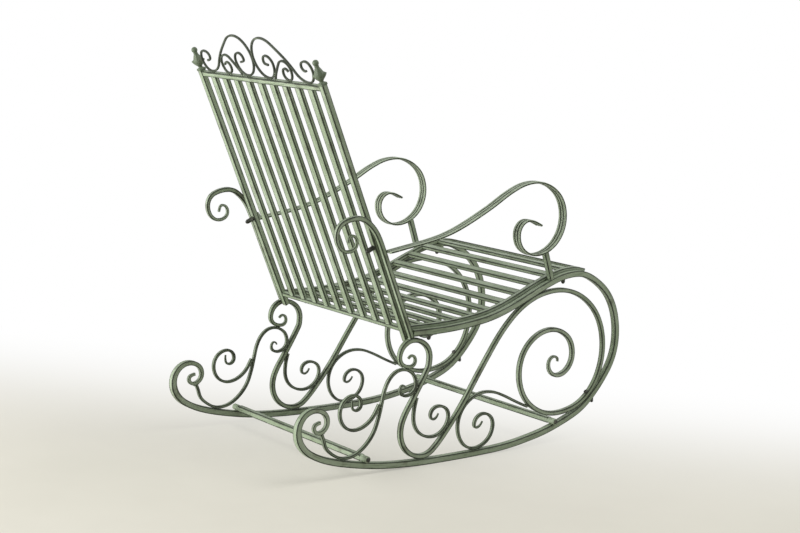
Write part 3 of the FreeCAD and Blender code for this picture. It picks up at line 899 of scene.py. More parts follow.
@dataclass(frozen=True)
class FloorSheet:
    """Pale studio floor that goes over into white towards the far side."""

    name: str
    colour: Colour = linear(218, 215, 203)
    shade: Colour = linear(213, 210, 198)
    seen_colour: Colour = linear(223, 220, 207)
    far_way: Span = (0.694, -0.720)
    fade: Span = (-0.92, 0.88)
    rim: Span = (1.5, 3.2)
    lift: float = 0.34
    roughness: float = 0.9
    gloss: float = 0.1
    clouds: Cloud = Cloud(1.6, 4.0, 0.6)

    def build(self) -> bpy.types.Material:
        """Make the material."""
        made = Finish(self.name)
        colour = made.mix(made.ranged(made.noise(self.clouds), (0.35, 0.65)), self.colour, self.shade)
        made.feed_named(made.shader, Base_Color=colour, Roughness=self.roughness, Specular_IOR_Level=self.gloss)
        parts = list(made.add("ShaderNodeSeparateXYZ", Vector=made.coordinates).outputs)[:2]
        reach = [made.sum("MULTIPLY", part, way) for part, way in zip(parts, self.far_way)]
        squares = [made.sum("POWER", part, 2.0) for part in parts]
        far = made.ranged(made.sum("ADD", *reach), self.fade)
        outer = made.ranged(made.sum("SQRT", made.sum("ADD", *squares)), self.rim)
        white = made.sum("MAXIMUM", far, outer)
        glow = made.add("ShaderNodeEmission", Color=made.mix(white, self.seen_colour, WHITE))
        share = made.sum("MULTIPLY", made.ranged(white, (0.0, 1.0), (self.lift, 1.0)), made.seen())
        blend = made.add("ShaderNodeMixShader")
        for socket, value in zip(blend.inputs, (share, made.shader.outputs[0], glow.outputs[0])):
            made.feed(socket, value)
        made.feed_named(made.nodes["Material Output"], Surface=blend.outputs[0])
        return made.material


def put(name: str, data: bpy.types.ID) -> bpy.types.Object:
    """Put a mesh, a lamp or a camera into the scene."""
    made = bpy.data.objects.new(name, data)
    bpy.context.scene.collection.objects.link(made)
    return made


def meshed(name: str, shape: bmesh.types.BMesh) -> bpy.types.Object:
    """Put a finished shape into the scene as a mesh."""
    mesh = bpy.data.meshes.new(name)
    shape.to_mesh(mesh)
    shape.free()
    return put(name, mesh)


def plane_basis(along: Vector, up: Vector) -> Matrix:
    """Axes of a flat plane as columns: along, up and square to both."""
    return Matrix((along, up, along.cross(up))).transposed()


@dataclass(frozen=True)
class SlatRow:
    """A row of like slats: number, spacing and sizes in millimetres, and their first paint number."""

    count: int
    first: float
    pitch: float
    length: float
    section: Span
    rise: float
    batch: float

    ROUNDING = 1.2

    def inputs(self) -> dict[str, object]:
        """Inputs of the tree that sets the slats."""
        sizes = {
            "First": self.first, "Last": self.first + self.pitch * (self.count - 1), "Length": self.length,
            "Width": self.section[0], "Thickness": self.section[1], "Rounding": self.ROUNDING, "Rise": self.rise,
        }
        return {"Count": self.count, "Batch": self.batch} | {name: size * MM for name, size in sizes.items()}


class Workshop:
    """Makes pieces from the trees and hands them to the frame."""

    REEDS = 3
    REED_DEPTH = 1.3
    SHARP = math.radians(50)

    def __init__(self, rest: Rest) -> None:
        """Build the trees and the finishes."""
        self.rest = rest
        self.batch = 0
        self.bars = {section: BarTree(section) for section in Section}
        self.slats = SlatTree()
        self.fittings = FittingTree()
        self.welds = WeldTree()
        self.paint = AntiquePaint("antique_paint").build()
        # Paler copy of the frame's paint for the reeded armrests: a painted highlight on the reeds' ridges, standing
        # in for the light they catch.
        self.reed_paint = AntiquePaint(
            "reed_paint", main=linear(156, 168, 145), corner_share=1.0, speck_share=0.1, grain_share=0.0, raised=0.03,
        ).build()
        self.bead_paint = AntiquePaint("weld_paint", main=linear(148, 158, 138), corner_share=0.0).build()
        self.casting_paint = AntiquePaint(
            "casting_paint", main=linear(80, 92, 72), pale=linear(106, 117, 97), deep=linear(52, 62, 45),
        ).build()
        self.dark = DarkSteel("dark_steel").build()

    def side_basis(self) -> Matrix:
        """Axes of a plane square to X, such as a side frame's: rearward and up."""
        return self.rest.turn @ plane_basis(Vector((0, 1, 0)), Vector((0, 0, 1)))

    def host(self, name: str, places: list[Vector], axes: list[Vector] | None = None) -> bpy.types.Object:
        """Put a line, or points with a direction each, into the scene as the input of a tree.

        Args:
            name: the coming piece's name.
            places: the points.
            axes: the directions; without them the points are joined into a line.

        Returns:
            The object that carries the tree.
        """
        mesh = bpy.data.meshes.new(name)
        mesh.from_pydata(places, [(k, k + 1) for k in range(len(places) - 1)] if axes is None else [], [])
        if axes is not None:
            stored = mesh.attributes.new(AXIS, "FLOAT_VECTOR", "POINT")
            for item, way in zip(stored.data, axes):
                item.vector = way
        return put(name, mesh)

    def grow(
        self, carrier: bpy.types.Object, tree: Tree, inputs: dict[str, object], slot: Slot, nodes: list[str],
    ) -> None:
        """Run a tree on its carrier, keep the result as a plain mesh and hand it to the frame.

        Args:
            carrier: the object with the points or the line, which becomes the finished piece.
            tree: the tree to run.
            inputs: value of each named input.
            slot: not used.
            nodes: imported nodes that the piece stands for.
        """
        modifier = carrier.modifiers.new(tree.group.name, "NODES")
        modifier.node_group = tree.group
        for name, value in inputs.items():
            modifier[tree.ids[name]] = value
        scene_state = bpy.context.evaluated_depsgraph_get()
        mesh = bpy.data.meshes.new_from_object(carrier.evaluated_get(scene_state))
        carrier.modifiers.remove(modifier)
        old = carrier.data
        carrier.data = mesh
        bpy.data.meshes.remove(old)
        mesh.name = carrier.name
        mesh.polygons.foreach_set("use_smooth", [True] * len(mesh.polygons))
        mesh.set_sharp_from_angle(angle=self.SHARP)
        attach(carrier, BODY)
        if nodes:
            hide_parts(*nodes)
        log.info("%s: %d faces, stands for %s", carrier.name, len(mesh.polygons), ", ".join(nodes) or "itself")

    def bar(self, name: str, bar: Bar, basis: Matrix, origin: Vector, section: Section = Section.PLAIN) -> None:
        """Make a bar in a flat plane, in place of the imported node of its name.

        Args:
            name: the piece's name.
            bar: its line and sizes.
            basis: the plane's axes as columns.
            origin: the plane's origin in the chair's frame.
            section: the cross section.
        """
        self.batch += 1
        sizes = {
            "Width": bar.width, "Thickness": bar.thick, "Rounding": bar.rounding, "Groove": self.REED_DEPTH,
            "Start Taper": bar.start_taper, "End Taper": bar.end_taper,
        }
        inputs = {key: size * MM for key, size in sizes.items()} | {
            "Reeds": self.REEDS, "Tip": bar.TIP, "Batch": float(self.batch),
            "Turn": tuple(basis.to_euler()), "Place": tuple(origin),
            "Finish": self.paint if section is Section.PLAIN else self.reed_paint,
        }
        carrier = self.host(name, [Vector((u, v, 0)) * MM for u, v in bar.points()])
        self.grow(carrier, self.bars[section], inputs, Slot.PAINT, [name])

    def slat_row(self, name: str, line: list[Span], row: SlatRow, basis: Matrix, place: Vector) -> None:
        """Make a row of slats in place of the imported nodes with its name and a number.

        Args:
            name: what each slat is called.
            line: points of the line that the slats stand along, in millimetres.
            row: the slats.
            basis: axes of the line's plane as columns.
            place: the plane's origin in the chair's frame.
        """
        inputs = row.inputs() | {"Turn": tuple(basis.to_euler()), "Place": tuple(place), "Finish": self.paint}
        carrier = self.host(f"{name}s", [Vector((u, v, 0)) * MM for u, v in line])
        self.grow(carrier, self.slats, inputs, Slot.PAINT, [f"{name}_{k + 1}" for k in range(row.count)])

    def fit(
        self, name: str, pattern: bpy.types.Object, places: list[Vector], axes: list[Vector],
        material: bpy.types.Material, slot: Slot, node: str,
    ) -> None:
        """Set copies of a pattern at places, each along its axis, and drop the pattern.

        Args:
            name: the piece's name.
            pattern: the shape to copy, standing on its origin along Z.
            places, axes: where the copies go and the way each points.
            material: their finish.
            slot: the record's slot.
            node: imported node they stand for.
        """
        carrier = self.host(name, places, axes)
        self.grow(carrier, self.fittings, {"Pattern": pattern, "Finish": material}, slot, [node])
        shape = pattern.data
        bpy.data.objects.remove(pattern)
        bpy.data.meshes.remove(shape)

    def beads(self, name: str, places: list[Vector], axes: list[Vector], half_sizes: Span) -> None:
        """Lay weld beads.

        Args:
            name: the piece's name.
            places, axes: where each bead lies and the way it runs.
            half_sizes: half its length and half its girth in millimetres.
        """
        length, girth = half_sizes
        inputs = {"Length": length * MM, "Girth": girth * MM, "Finish": self.bead_paint}
        self.grow(self.host(name, places, axes), self.welds, inputs, Slot.PAINT, [])

    @staticmethod
    def turned(name: str, profile: list[Span], sides: int) -> bpy.types.Object:
        """Turn a closed pattern on the Z axis.

        Args:
            name: the pattern's name.
            profile: (radius, height) in millimetres from one end to the other.
            sides: number of sides.

        Returns:
            The pattern's object.
        """
        shape = bmesh.new()
        angles = [2 * math.pi * k / sides for k in range(sides)]
        rings = [
            [shape.verts.new((radius * math.cos(a) * MM, radius * math.sin(a) * MM, height * MM)) for a in angles]
            for radius, height in profile
        ]
        for low, high in zip(rings, rings[1:]):
            for k in range(sides):
                shape.faces.new((low[k], low[(k + 1) % sides], high[(k + 1) % sides], high[k]))
        shape.faces.new(rings[0][::-1])
        shape.faces.new(rings[-1])
        bmesh.ops.recalc_face_normals(shape, faces=shape.faces)
        return meshed(name, shape)


@dataclass
class SideFrame:
    """One scrolled side frame: rail, leg, upright, armrest, post and four ornament scrolls."""

    side: Side
    middle: float = 265.0
    rail: float = 16.0
    leg: float = 12.0
    scroll: Span = (9.0, 7.0)
    arm_middle: float = 274.5
    arm: Span = (26.0, 6.0)
    post: float = 14.0
    rounding: float = 1.6
    scroll_rounding: float = 1.0
    arm_rounding: float = 0.8
    weld_spread: float = 6.5
    weld: Span = (5.4, 2.0)
    bolt_stand: float = 1.0

    LEG_AT_RAIL = (-589.0, 104.5, 137.0)
    LEG = [
        (-462, 205.5, 112), (-447, 220, 0), (-429.5, 201, 270), (-466, 168, 180), (-517, 218, 90),
        (-426, 294, 0), (-322, 196, 270), (-473, 64.5, 180), LEG_AT_RAIL, (-635.5, 217, 90),
        (-440, 398, 0), (-344, 378.5, 336), (-223, 271, 305), (-67, 53, 312), (-2.5, 11.8, 0), (72, 83.5, 90),
        (53, 138, 123), (-3.5, 233, 118), (-7.5, 258, 90), (50, 308.5, 0), (89.5, 270, 270),
        (53, 243, 180), (38.5, 256, 90), (50.5, 270, 0), (61, 263.5, 305),
    ]
    RUNNER = [
        (321, 136.5, 352), (338.5, 124.5, 270), (323.5, 111.5, 180), (300.5, 134.5, 90), (342, 168, 0),
        (386, 122.5, 270), (350, 65.5, 211), (250, 28.5, 193), (98, 3.5, 185), (-134, -4.5, 180),
        (-341, 5, 172), (-457, 27.5, 164),
    ]
    FRONT_BOW = [(-683.5, 247, 90), (-610.5, 397, 36)]
    SEAT_RUN = [(-505, 438, 0), (-345, 394.5, 337), (-240, 354.5, 343), (-100, 330.5, 355), (66, 326, 0)]
    REAR_S = [
        (315.5, 107.3, 243), (293, 64, 221), (237.5, 39.5, 180), (167.5, 76.5, 129), (140, 147, 101),
        (123.5, 209.5, 118), (80, 238.2, 180), (31.8, 197, 270), (61, 171.5, 0), (82, 187, 90),
        (73.5, 198.5, 180), (65, 191, 255),
    ]
    REAR_HOOK = [
        (228, 178, 280), (216, 152.8, 180), (201.5, 167.5, 90), (226, 190.5, 0), (264, 153, 270),
        (215.5, 105, 180), (169.5, 123, 139), (144.8, 159.5, 118),
    ]
    LEG_HOOK = [
        (25.7, 163, 287), (32, 110, 264), (-33, 57, 180), (-83.5, 103, 90), (-47, 133, 0),
        (-23, 113, 270), (-33.5, 101, 180), (-49, 114.5, 105),
    ]
    FRONT_C = [
        (-359.5, 95.5, 22), (-297, 123, 26), (-203, 151.5, 0), (-117.7, 75.5, 270), (-182, 7.5, 180),
        (-241, 60, 90), (-203, 95, 0), (-174.7, 70, 270), (-183.7, 61, 180), (-203, 75.5, 112),
    ]
    UPRIGHT = [
        (269, 556, 95), (259, 573, 180), (242.5, 555, 270), (268, 535.5, 0), (304, 575, 90),
        (246, 613, 180), (195, 586.5, 226), (167, 543.5, 244),
    ]
    UPRIGHT_STRAIGHT = 252.8
    ARM = [
        (169.5, 529, 173), (87, 542, 171), (-7, 560, 166), (-100.5, 594.5, 155), (-199, 645.5, 149),
        (-317, 685.5, 180), (-430, 588, 270), (-335, 499, 0), (-267.5, 555.5, 90), (-300, 588.5, 180),
        (-344.5, 575, 206),
    ]
    ARM_START = 15.5
    POST_FOOT = (-419, 416, 68)
    POST_RUN = (5.0, 101.5)
    RAIL_TAPER = 230.0
    RAIL_CUT = 13.0
    LEG_TAPERS = (125.0, 140.0)
    UPRIGHT_TAPER = 220.0
    SCROLL_TAPER = 45.0

    @classmethod
    def rail_knots(cls) -> list[Knot]:
        """The rocker rail's knots: runner, front bow against the leg, and seat rail."""
        touch = moved(cls.LEG_AT_RAIL, left=(cls.leg + cls.rail) / 2 + GAP)
        return cls.RUNNER + [touch] + cls.FRONT_BOW + cls.SEAT_RUN

    def bars(self) -> dict[str, Bar]:
        """The bent bars of a side by name, except the armrest."""
        leg, scroll = (self.leg, self.leg, self.rounding), (*self.scroll, self.scroll_rounding)
        made = {
            "rocker_rail": Bar(
                BarLine(self.rail_knots()), self.rail, self.rail, self.rounding, self.RAIL_TAPER,
                end_cut=self.RAIL_CUT,
            ),
            "scroll_leg": Bar(BarLine(self.LEG), *leg, *self.LEG_TAPERS),
            "upright": Bar(
                BarLine(self.UPRIGHT + [moved(self.UPRIGHT[-1], self.UPRIGHT_STRAIGHT)]), *leg, self.UPRIGHT_TAPER,
            ),
        }
        for name, knots in (("rear_s", self.REAR_S), ("leg_hook", self.LEG_HOOK), ("front_c", self.FRONT_C)):
            made[f"{name}_scroll"] = Bar(BarLine(knots), *scroll, end_taper=self.SCROLL_TAPER)
        made["rear_hook_scroll"] = Bar(BarLine(self.REAR_HOOK), *scroll, self.SCROLL_TAPER)
        return made

    def build(self, shop: Workshop) -> None:
        """Make the pieces of this side.

        Args:
            shop: what makes them.
        """
        basis = shop.side_basis()
        origin = shop.rest.place(self.side.value * self.middle, 0, 0)
        word = self.side.word
        bars = self.bars()
        for name, bar in bars.items():
            shop.bar(f"{word}_{name}", bar, basis, origin)
        arm = Bar(BarLine(self.ARM), *self.arm, self.arm_rounding, start_cut=self.ARM_START)
        arm_origin = shop.rest.place(self.side.value * self.arm_middle, 0, 0)
        shop.bar(f"{word}_armrest", arm, basis, arm_origin, Section.REEDED)
        ends = [moved(self.POST_FOOT, run) for run in self.POST_RUN]
        shop.bar(f"{word}_arm_post", Bar(BarLine(ends), self.post, self.post, self.rounding), basis, origin)
        self.build_welds(shop, list(bars.values()))

    def build_welds(self, shop: Workshop, bars: list[Bar]) -> None:
        """Lay weld beads on both sides of each place where two bars touch.

        Args:
            shop: what makes them.
            bars: the bars of this side.
        """
        places = []
        for k, first in enumerate(bars):
            for second in bars[k + 1:]:
                for u, v, angle in second.touches(first):
                    for way in (-1, 1):
                        y = u + way * self.weld_spread * math.cos(angle)
                        z = v + way * self.weld_spread * math.sin(angle)
                        places.append(shop.rest.place(self.side.value * self.middle, y, z))
        shop.beads(f"{self.side.word}_frame_welds", places, [Vector((1, 0, 0))] * len(places), self.weld)


@dataclass
class BackPanel:
    """The leaning back: stiles, cross rails, slats, crest and finials."""

    recline: float = 26.0
    foot: Span = (59.0, 315.0)
    stile_middle: float = 245.5
    stile: Span = (16.0, 14.0)
    stile_heights: Span = (-12.0, 668.0)
    slats: int = 9
    slat: Span = (20.0, 10.0)
    bottom_rail: Span = (16.0, 28.0)
    top_rail: Span = (654.0, 667.0)
    rail_depth: float = 12.0
    crest: float = 5.0
    tab: float = 4.0
    bolt_height: float = 252.0
    rounding: float = 1.6
    rail_rounding: float = 1.4
    crest_rounding: float = 0.9
    slat_weld: Span = (7.0, 1.1)
    crest_weld: Span = (3.0, 1.3)
    weld_spread: float = 4.0
    first_batch: float = 60.0

    CREST = {
        "crest_scroll": [
            (56, 703.5, 172), (40.5, 712, 90), (55, 727, 0), (76, 705, 270), (44, 669.7, 180),
            (2.6, 716, 90), (54, 771.5, 0), (120, 733, 318), (197, 669.7, 0), (224, 700, 90),
            (205, 723, 180), (185.5, 709, 270), (200, 699, 20),
        ],
        "crest_curl": [
            (67, 670, 62), (87, 697, 50), (116, 718, 0), (140, 694, 270), (122, 669.7, 180),
            (106, 685, 90), (117.5, 699, 0), (128.5, 692, 305),
        ],
    }

    @property
    def pitch(self) -> float:
        """Spacing of the slats."""
        return 2 * self.stile_middle / (self.slats + 1)

    @property
    def up(self) -> Vector:
        """The way up the drawn back."""
        lean = math.radians(self.recline)
        return Vector((0, math.sin(lean), math.cos(lean)))

    @property
    def rear(self) -> Vector:
        """The way out of the drawn back's rear face."""
        lean = math.radians(self.recline)
        return Vector((0, math.cos(lean), -math.sin(lean)))

    def drawn(self, x: float, height: float, rearward: float = 0.0) -> Vector:
        """A drawn place on the back, in millimetres."""
        return Vector((x, *self.foot)) + self.up * height + self.rear * rearward

    def place(self, shop: Workshop, x: float, height: float, rearward: float = 0.0) -> Vector:
        """A place on the back in the chair's frame."""
        return shop.rest.place(*self.drawn(x, height, rearward))

    def build(self, shop: Workshop) -> None:
        """Make the pieces of the back.

        Args:
            shop: what makes them.
        """
        up, rear, across = shop.rest.way(*self.up), shop.rest.way(*self.rear), Vector((1, 0, 0))
        stile = Bar.straight(*self.stile_heights, *self.stile, self.rounding)
        for side in Side:
            origin = self.place(shop, side.value * self.stile_middle, 0.0)
            shop.bar(f"{side.word}_back_stile", stile, plane_basis(up, rear), origin)
        clear = self.stile_middle - self.stile[0] / 2 - GAP
        origin = self.place(shop, 0.0, 0.0)
        for name, (base, top) in (("back_bottom_rail", self.bottom_rail), ("back_top_rail", self.top_rail)):
            rail = Bar.straight(-clear, clear, self.rail_depth, top - base, self.rail_rounding, at=(base + top) / 2)
            shop.bar(name, rail, plane_basis(across, up), origin)
        self.build_slats(shop, plane_basis(across, rear))
        square = (self.crest, self.crest, self.crest_rounding)
        crest = {name: Bar(BarLine(knots), *square) for name, knots in self.CREST.items()}
        for side in Side:
            for name, bar in crest.items():
                shop.bar(f"{side.word}_{name}", bar, plane_basis(across * side.value, up), origin)
        self.build_welds(shop, [rail, *crest.values()])
        for side in Side:
            place = self.place(shop, side.value * self.stile_middle, self.stile_heights[1] + GAP)
            name = f"{side.word}_finial"
            shop.fit(name, CastFinial().pattern(), [place], [up], shop.casting_paint, Slot.PAINT, name)

    def build_slats(self, shop: Workshop, basis: Matrix) -> None:
        """Make the row of upright slats.

        Args:
            shop: what makes them.
            basis: axes of the row's plane as columns: across and rearward.
        """
        reach = self.stile_middle - self.pitch
        base, top = self.bottom_rail[1] + GAP, self.top_rail[0] - GAP
        row = SlatRow(self.slats, 0.0, self.pitch, top - base, self.slat, 0.0, self.first_batch)
        shop.slat_row("back_slat", [(-reach, 0), (reach, 0)], row, basis, self.place(shop, 0.0, (base + top) / 2))

    def build_welds(self, shop: Workshop, bars: list[Bar]) -> None:
        """Lay weld beads at the slats' ends and where the crest's bars touch.

        Args:
            shop: what makes them.
            bars: the top rail and the crest's bars.
        """
        face = self.slat[1] / 2
        places = [
            self.place(shop, self.pitch * (k - (self.slats - 1) / 2), height, rearward)
            for k in range(self.slats) for height in (self.bottom_rail[1], self.top_rail[0])
            for rearward in (-face, face)
        ]
        shop.beads("back_slat_welds", places, [Vector((1, 0, 0))] * len(places), self.slat_weld)
        touches = [spot for k, first in enumerate(bars) for second in bars[k + 1:] for spot in second.touches(first)]
        spots = []
        for side in Side:
            for x, height, angle in touches:
                for run in (-self.weld_spread, self.weld_spread):
                    out = side.value * (x + run * math.cos(angle))
                    spots.append(self.place(shop, out, height + run * math.sin(angle)))
        shop.beads("crest_welds", spots, [shop.rest.way(*self.rear)] * len(spots), self.crest_weld)


@dataclass(frozen=True)
class CastFinial:
    """Square foot, leafy bulb, collar and ball, as one casting."""

    foot_top: float = 7.0
    neck: float = 44.0
    leaf_reach: float = 5.2
    leaf_heights: Span = (11.0, 27.0)
    outline: tuple[tuple[float, float], ...] = (
        (8.3, 0.0), (8.5, 0.6), (8.5, 4.6), (8.0, 5.6), (6.6, 6.6), (5.4, 8.0), (5.0, 9.6), (5.6, 11.2),
        (7.2, 13.4), (9.2, 16.0), (11.0, 19.0), (12.1, 22.0), (12.5, 25.0), (12.0, 28.0), (10.9, 31.0),
        (9.6, 34.0), (8.3, 37.0), (7.0, 40.0), (5.8, 42.5), (5.0, 44.4), (5.6, 45.2), (5.8, 46.0), (5.2, 46.8),
        (5.0, 48.4), (6.4, 50.1), (7.2, 52.0), (7.5, 54.0), (7.2, 56.1), (6.3, 58.1), (4.8, 59.8), (2.9, 60.9),
        (1.0, 61.45),
    )

    SIDES = 64
    STEP = 0.8
    FOOT_BLEND = 1.6
    FOOT_CORNER = 1.36
    LEAF_CURVE = 1.5
    LEAF_DROP = 6.0
    LEAF_OVER = 3.0
    LEAF_RIBS = 16
    RIB_SHARE = 0.15
    FLUTES = 8
    FLUTE_DEPTH = 0.35

    def radius(self, base: float, height: float, angle: float) -> float:
        """Radius of the casting, with its square foot and four leaves.

        Args:
            base: radius of the plain turned shape.
            height: height over the stile.
            angle: direction round the axis.

        Returns:
            The radius in millimetres.
        """
        square = 1.0 / max(abs(math.cos(angle)), abs(math.sin(angle)))
        share = min(max((self.foot_top - height) / self.FOOT_BLEND, 0.0), 1.0)
        made = base * (1 + (min(square, self.FOOT_CORNER) - 1) * share)
        low, high = self.leaf_heights
        if low < height < high + self.LEAF_OVER:
            leaf = max(0.0, math.cos(2 * (angle - math.pi / 4))) ** 2
            rise = (height - low) / (high - low)
            curl = rise ** self.LEAF_CURVE if rise < 1 else max(0.0, 1 - (rise - 1) * self.LEAF_DROP)
            rib = 1 - self.RIB_SHARE * (1 - math.cos(self.LEAF_RIBS * (angle - math.pi / 4)))
            made += self.leaf_reach * leaf * curl * rib
        if high < height < self.neck:
            rise = (height - high) / (self.neck - high)
            made += self.FLUTE_DEPTH * math.cos(self.FLUTES * angle) * math.sin(math.pi * rise)
        return made

    def pattern(self) -> bpy.types.Object:
        """Make the casting's shape, standing on its origin along Z.

        Returns:
            The pattern's object.
        """
        fine = []
        for (r0, h0), (r1, h1) in zip(self.outline, self.outline[1:]):
            parts = max(1, round(max(abs(h1 - h0), abs(r1 - r0)) / self.STEP))
            fine += [(r0 + (r1 - r0) * k / parts, h0 + (h1 - h0) * k / parts) for k in range(parts)]
        fine.append(self.outline[-1])
        made = Workshop.turned("finial_pattern", fine, self.SIDES)
        for k, vertex in enumerate(made.data.vertices):
            base, height = fine[k // self.SIDES]
            angle = 2 * math.pi * (k % self.SIDES) / self.SIDES
            radius = self.radius(base, height, angle) * MM
            vertex.co.x = radius * math.cos(angle)
            vertex.co.y = radius * math.sin(angle)
        return made


@dataclass
class SeatPanel:
    """The dipped seat: two bent side bars and eleven slats across them."""

    bar_middle: float = 249.75
    bar: Span = (13.5, 11.0)
    over_rail: float = 5.0
    slats: int = 11
    pitch: float = 56.0
    slat: Span = (20.0, 10.0)
    front_end: Knot = (-547, 432, 15)
    lug_bottom: float = 13.0
    bolts_y: Span = (-14.0, -474.0)
    rounding: float = 1.1
    end_cut: float = 8.0
    weld: Span = (7.0, 1.1)
    weld_sink: float = 0.6
    first_batch: float = 80.0

    @property
    def top(self) -> float:
        """Height of the seat's top over the seat rails' centres."""
        return self.over_rail + self.bar[1]

    @property
    def line(self) -> BarLine:
        """Line of the seat, on the seat rails' centres."""
        return BarLine([self.front_end] + SideFrame.SEAT_RUN)

    def build(self, shop: Workshop) -> None:
        """Make the pieces of the seat.

        Args:
            shop: what makes them.
        """
        basis = shop.side_basis()
        line = self.line
        bar = Bar(line, *self.bar, self.rounding, end_cut=self.end_cut, rise=self.over_rail + self.bar[1] / 2)
        for side in Side:
            origin = shop.rest.place(side.value * self.bar_middle, 0, 0)
            shop.bar(f"{side.word}_seat_bar", bar, basis, origin)
        clear = self.bar_middle - self.bar[0] / 2 - GAP
        width, thickness = self.slat
        rise = self.top - thickness / 2
        row = SlatRow(self.slats, width / 2, self.pitch, 2 * clear, self.slat, rise, self.first_batch)
        shop.slat_row("seat_slat", line.points(), row, basis, shop.rest.place(0, 0, 0))
        places, axes = [], []
        for k in range(self.slats):
            u, v, heading = line.station(width / 2 + self.pitch * k)
            rise = self.top - self.weld_sink
            for side in Side:
                x = side.value * (clear - self.weld_sink)
                places.append(shop.rest.place(x, u - rise * math.sin(heading), v + rise * math.cos(heading)))
                axes.append(shop.rest.way(0, math.cos(heading), math.sin(heading)))
        shop.beads("seat_slat_welds", places, axes, self.weld)


@dataclass
class Stretchers:
    """Two square tubes between the runners, with the sleeves and bolts that hold them."""

    size: float = 15.0
    rear_y: float = 184.0
    front_y: float = -463.0
    sleeve_radius: float = 8.0
    sleeve_inner: float = 256.0
    sleeve_length: float = 24.0
    bolt_in: float = 24.0
    bore: float = 3.4
    bevel: float = 0.8
    rounding: float = 1.6

    RUNNER_KNOTS = slice(5, 13)
    SLEEVE_SIDES = 32

    def axis(self, y: float) -> Vector:
        """Drawn middle of a stretcher over the runners."""
        u, v, heading = BarLine(SideFrame.rail_knots()[self.RUNNER_KNOTS]).at_u(y)
        rise = SideFrame.rail / 2 + self.sleeve_radius + GAP
        return Vector((0, u + rise * math.sin(heading), v - rise * math.cos(heading)))

    def build(self, shop: Workshop) -> None:
        """Make the stretchers and their sleeves.

        Args:
            shop: what makes them.
        """
        reach = self.sleeve_inner - GAP
        tube = Bar.straight(-reach, reach, self.size, self.size, self.rounding)
        places = []
        for name, y in (("rear_stretcher", self.rear_y), ("front_stretcher", self.front_y)):
            axis = self.axis(y)
            shop.bar(name, tube, shop.rest.turn, shop.rest.place(*axis))
            places += [shop.rest.place(side.value * self.sleeve_inner, axis.y, axis.z) for side in Side]
        axes = [Vector((side.value, 0, 0)) for _ in range(2) for side in Side]
        end, radius, bevel = self.sleeve_length, self.sleeve_radius, self.bevel
        profile = [
            (self.bore, 0.0), (radius - bevel, 0.0), (radius, bevel), (radius, end / 2), (radius, end - bevel),
            (radius - bevel, end), (self.bore, end),
        ]
        pattern = shop.turned("sleeve_pattern", profile, self.SLEEVE_SIDES)
        shop.fit("stretcher_sleeves", pattern, places, axes, shop.paint, Slot.PAINT, "stretcher_sleeves")


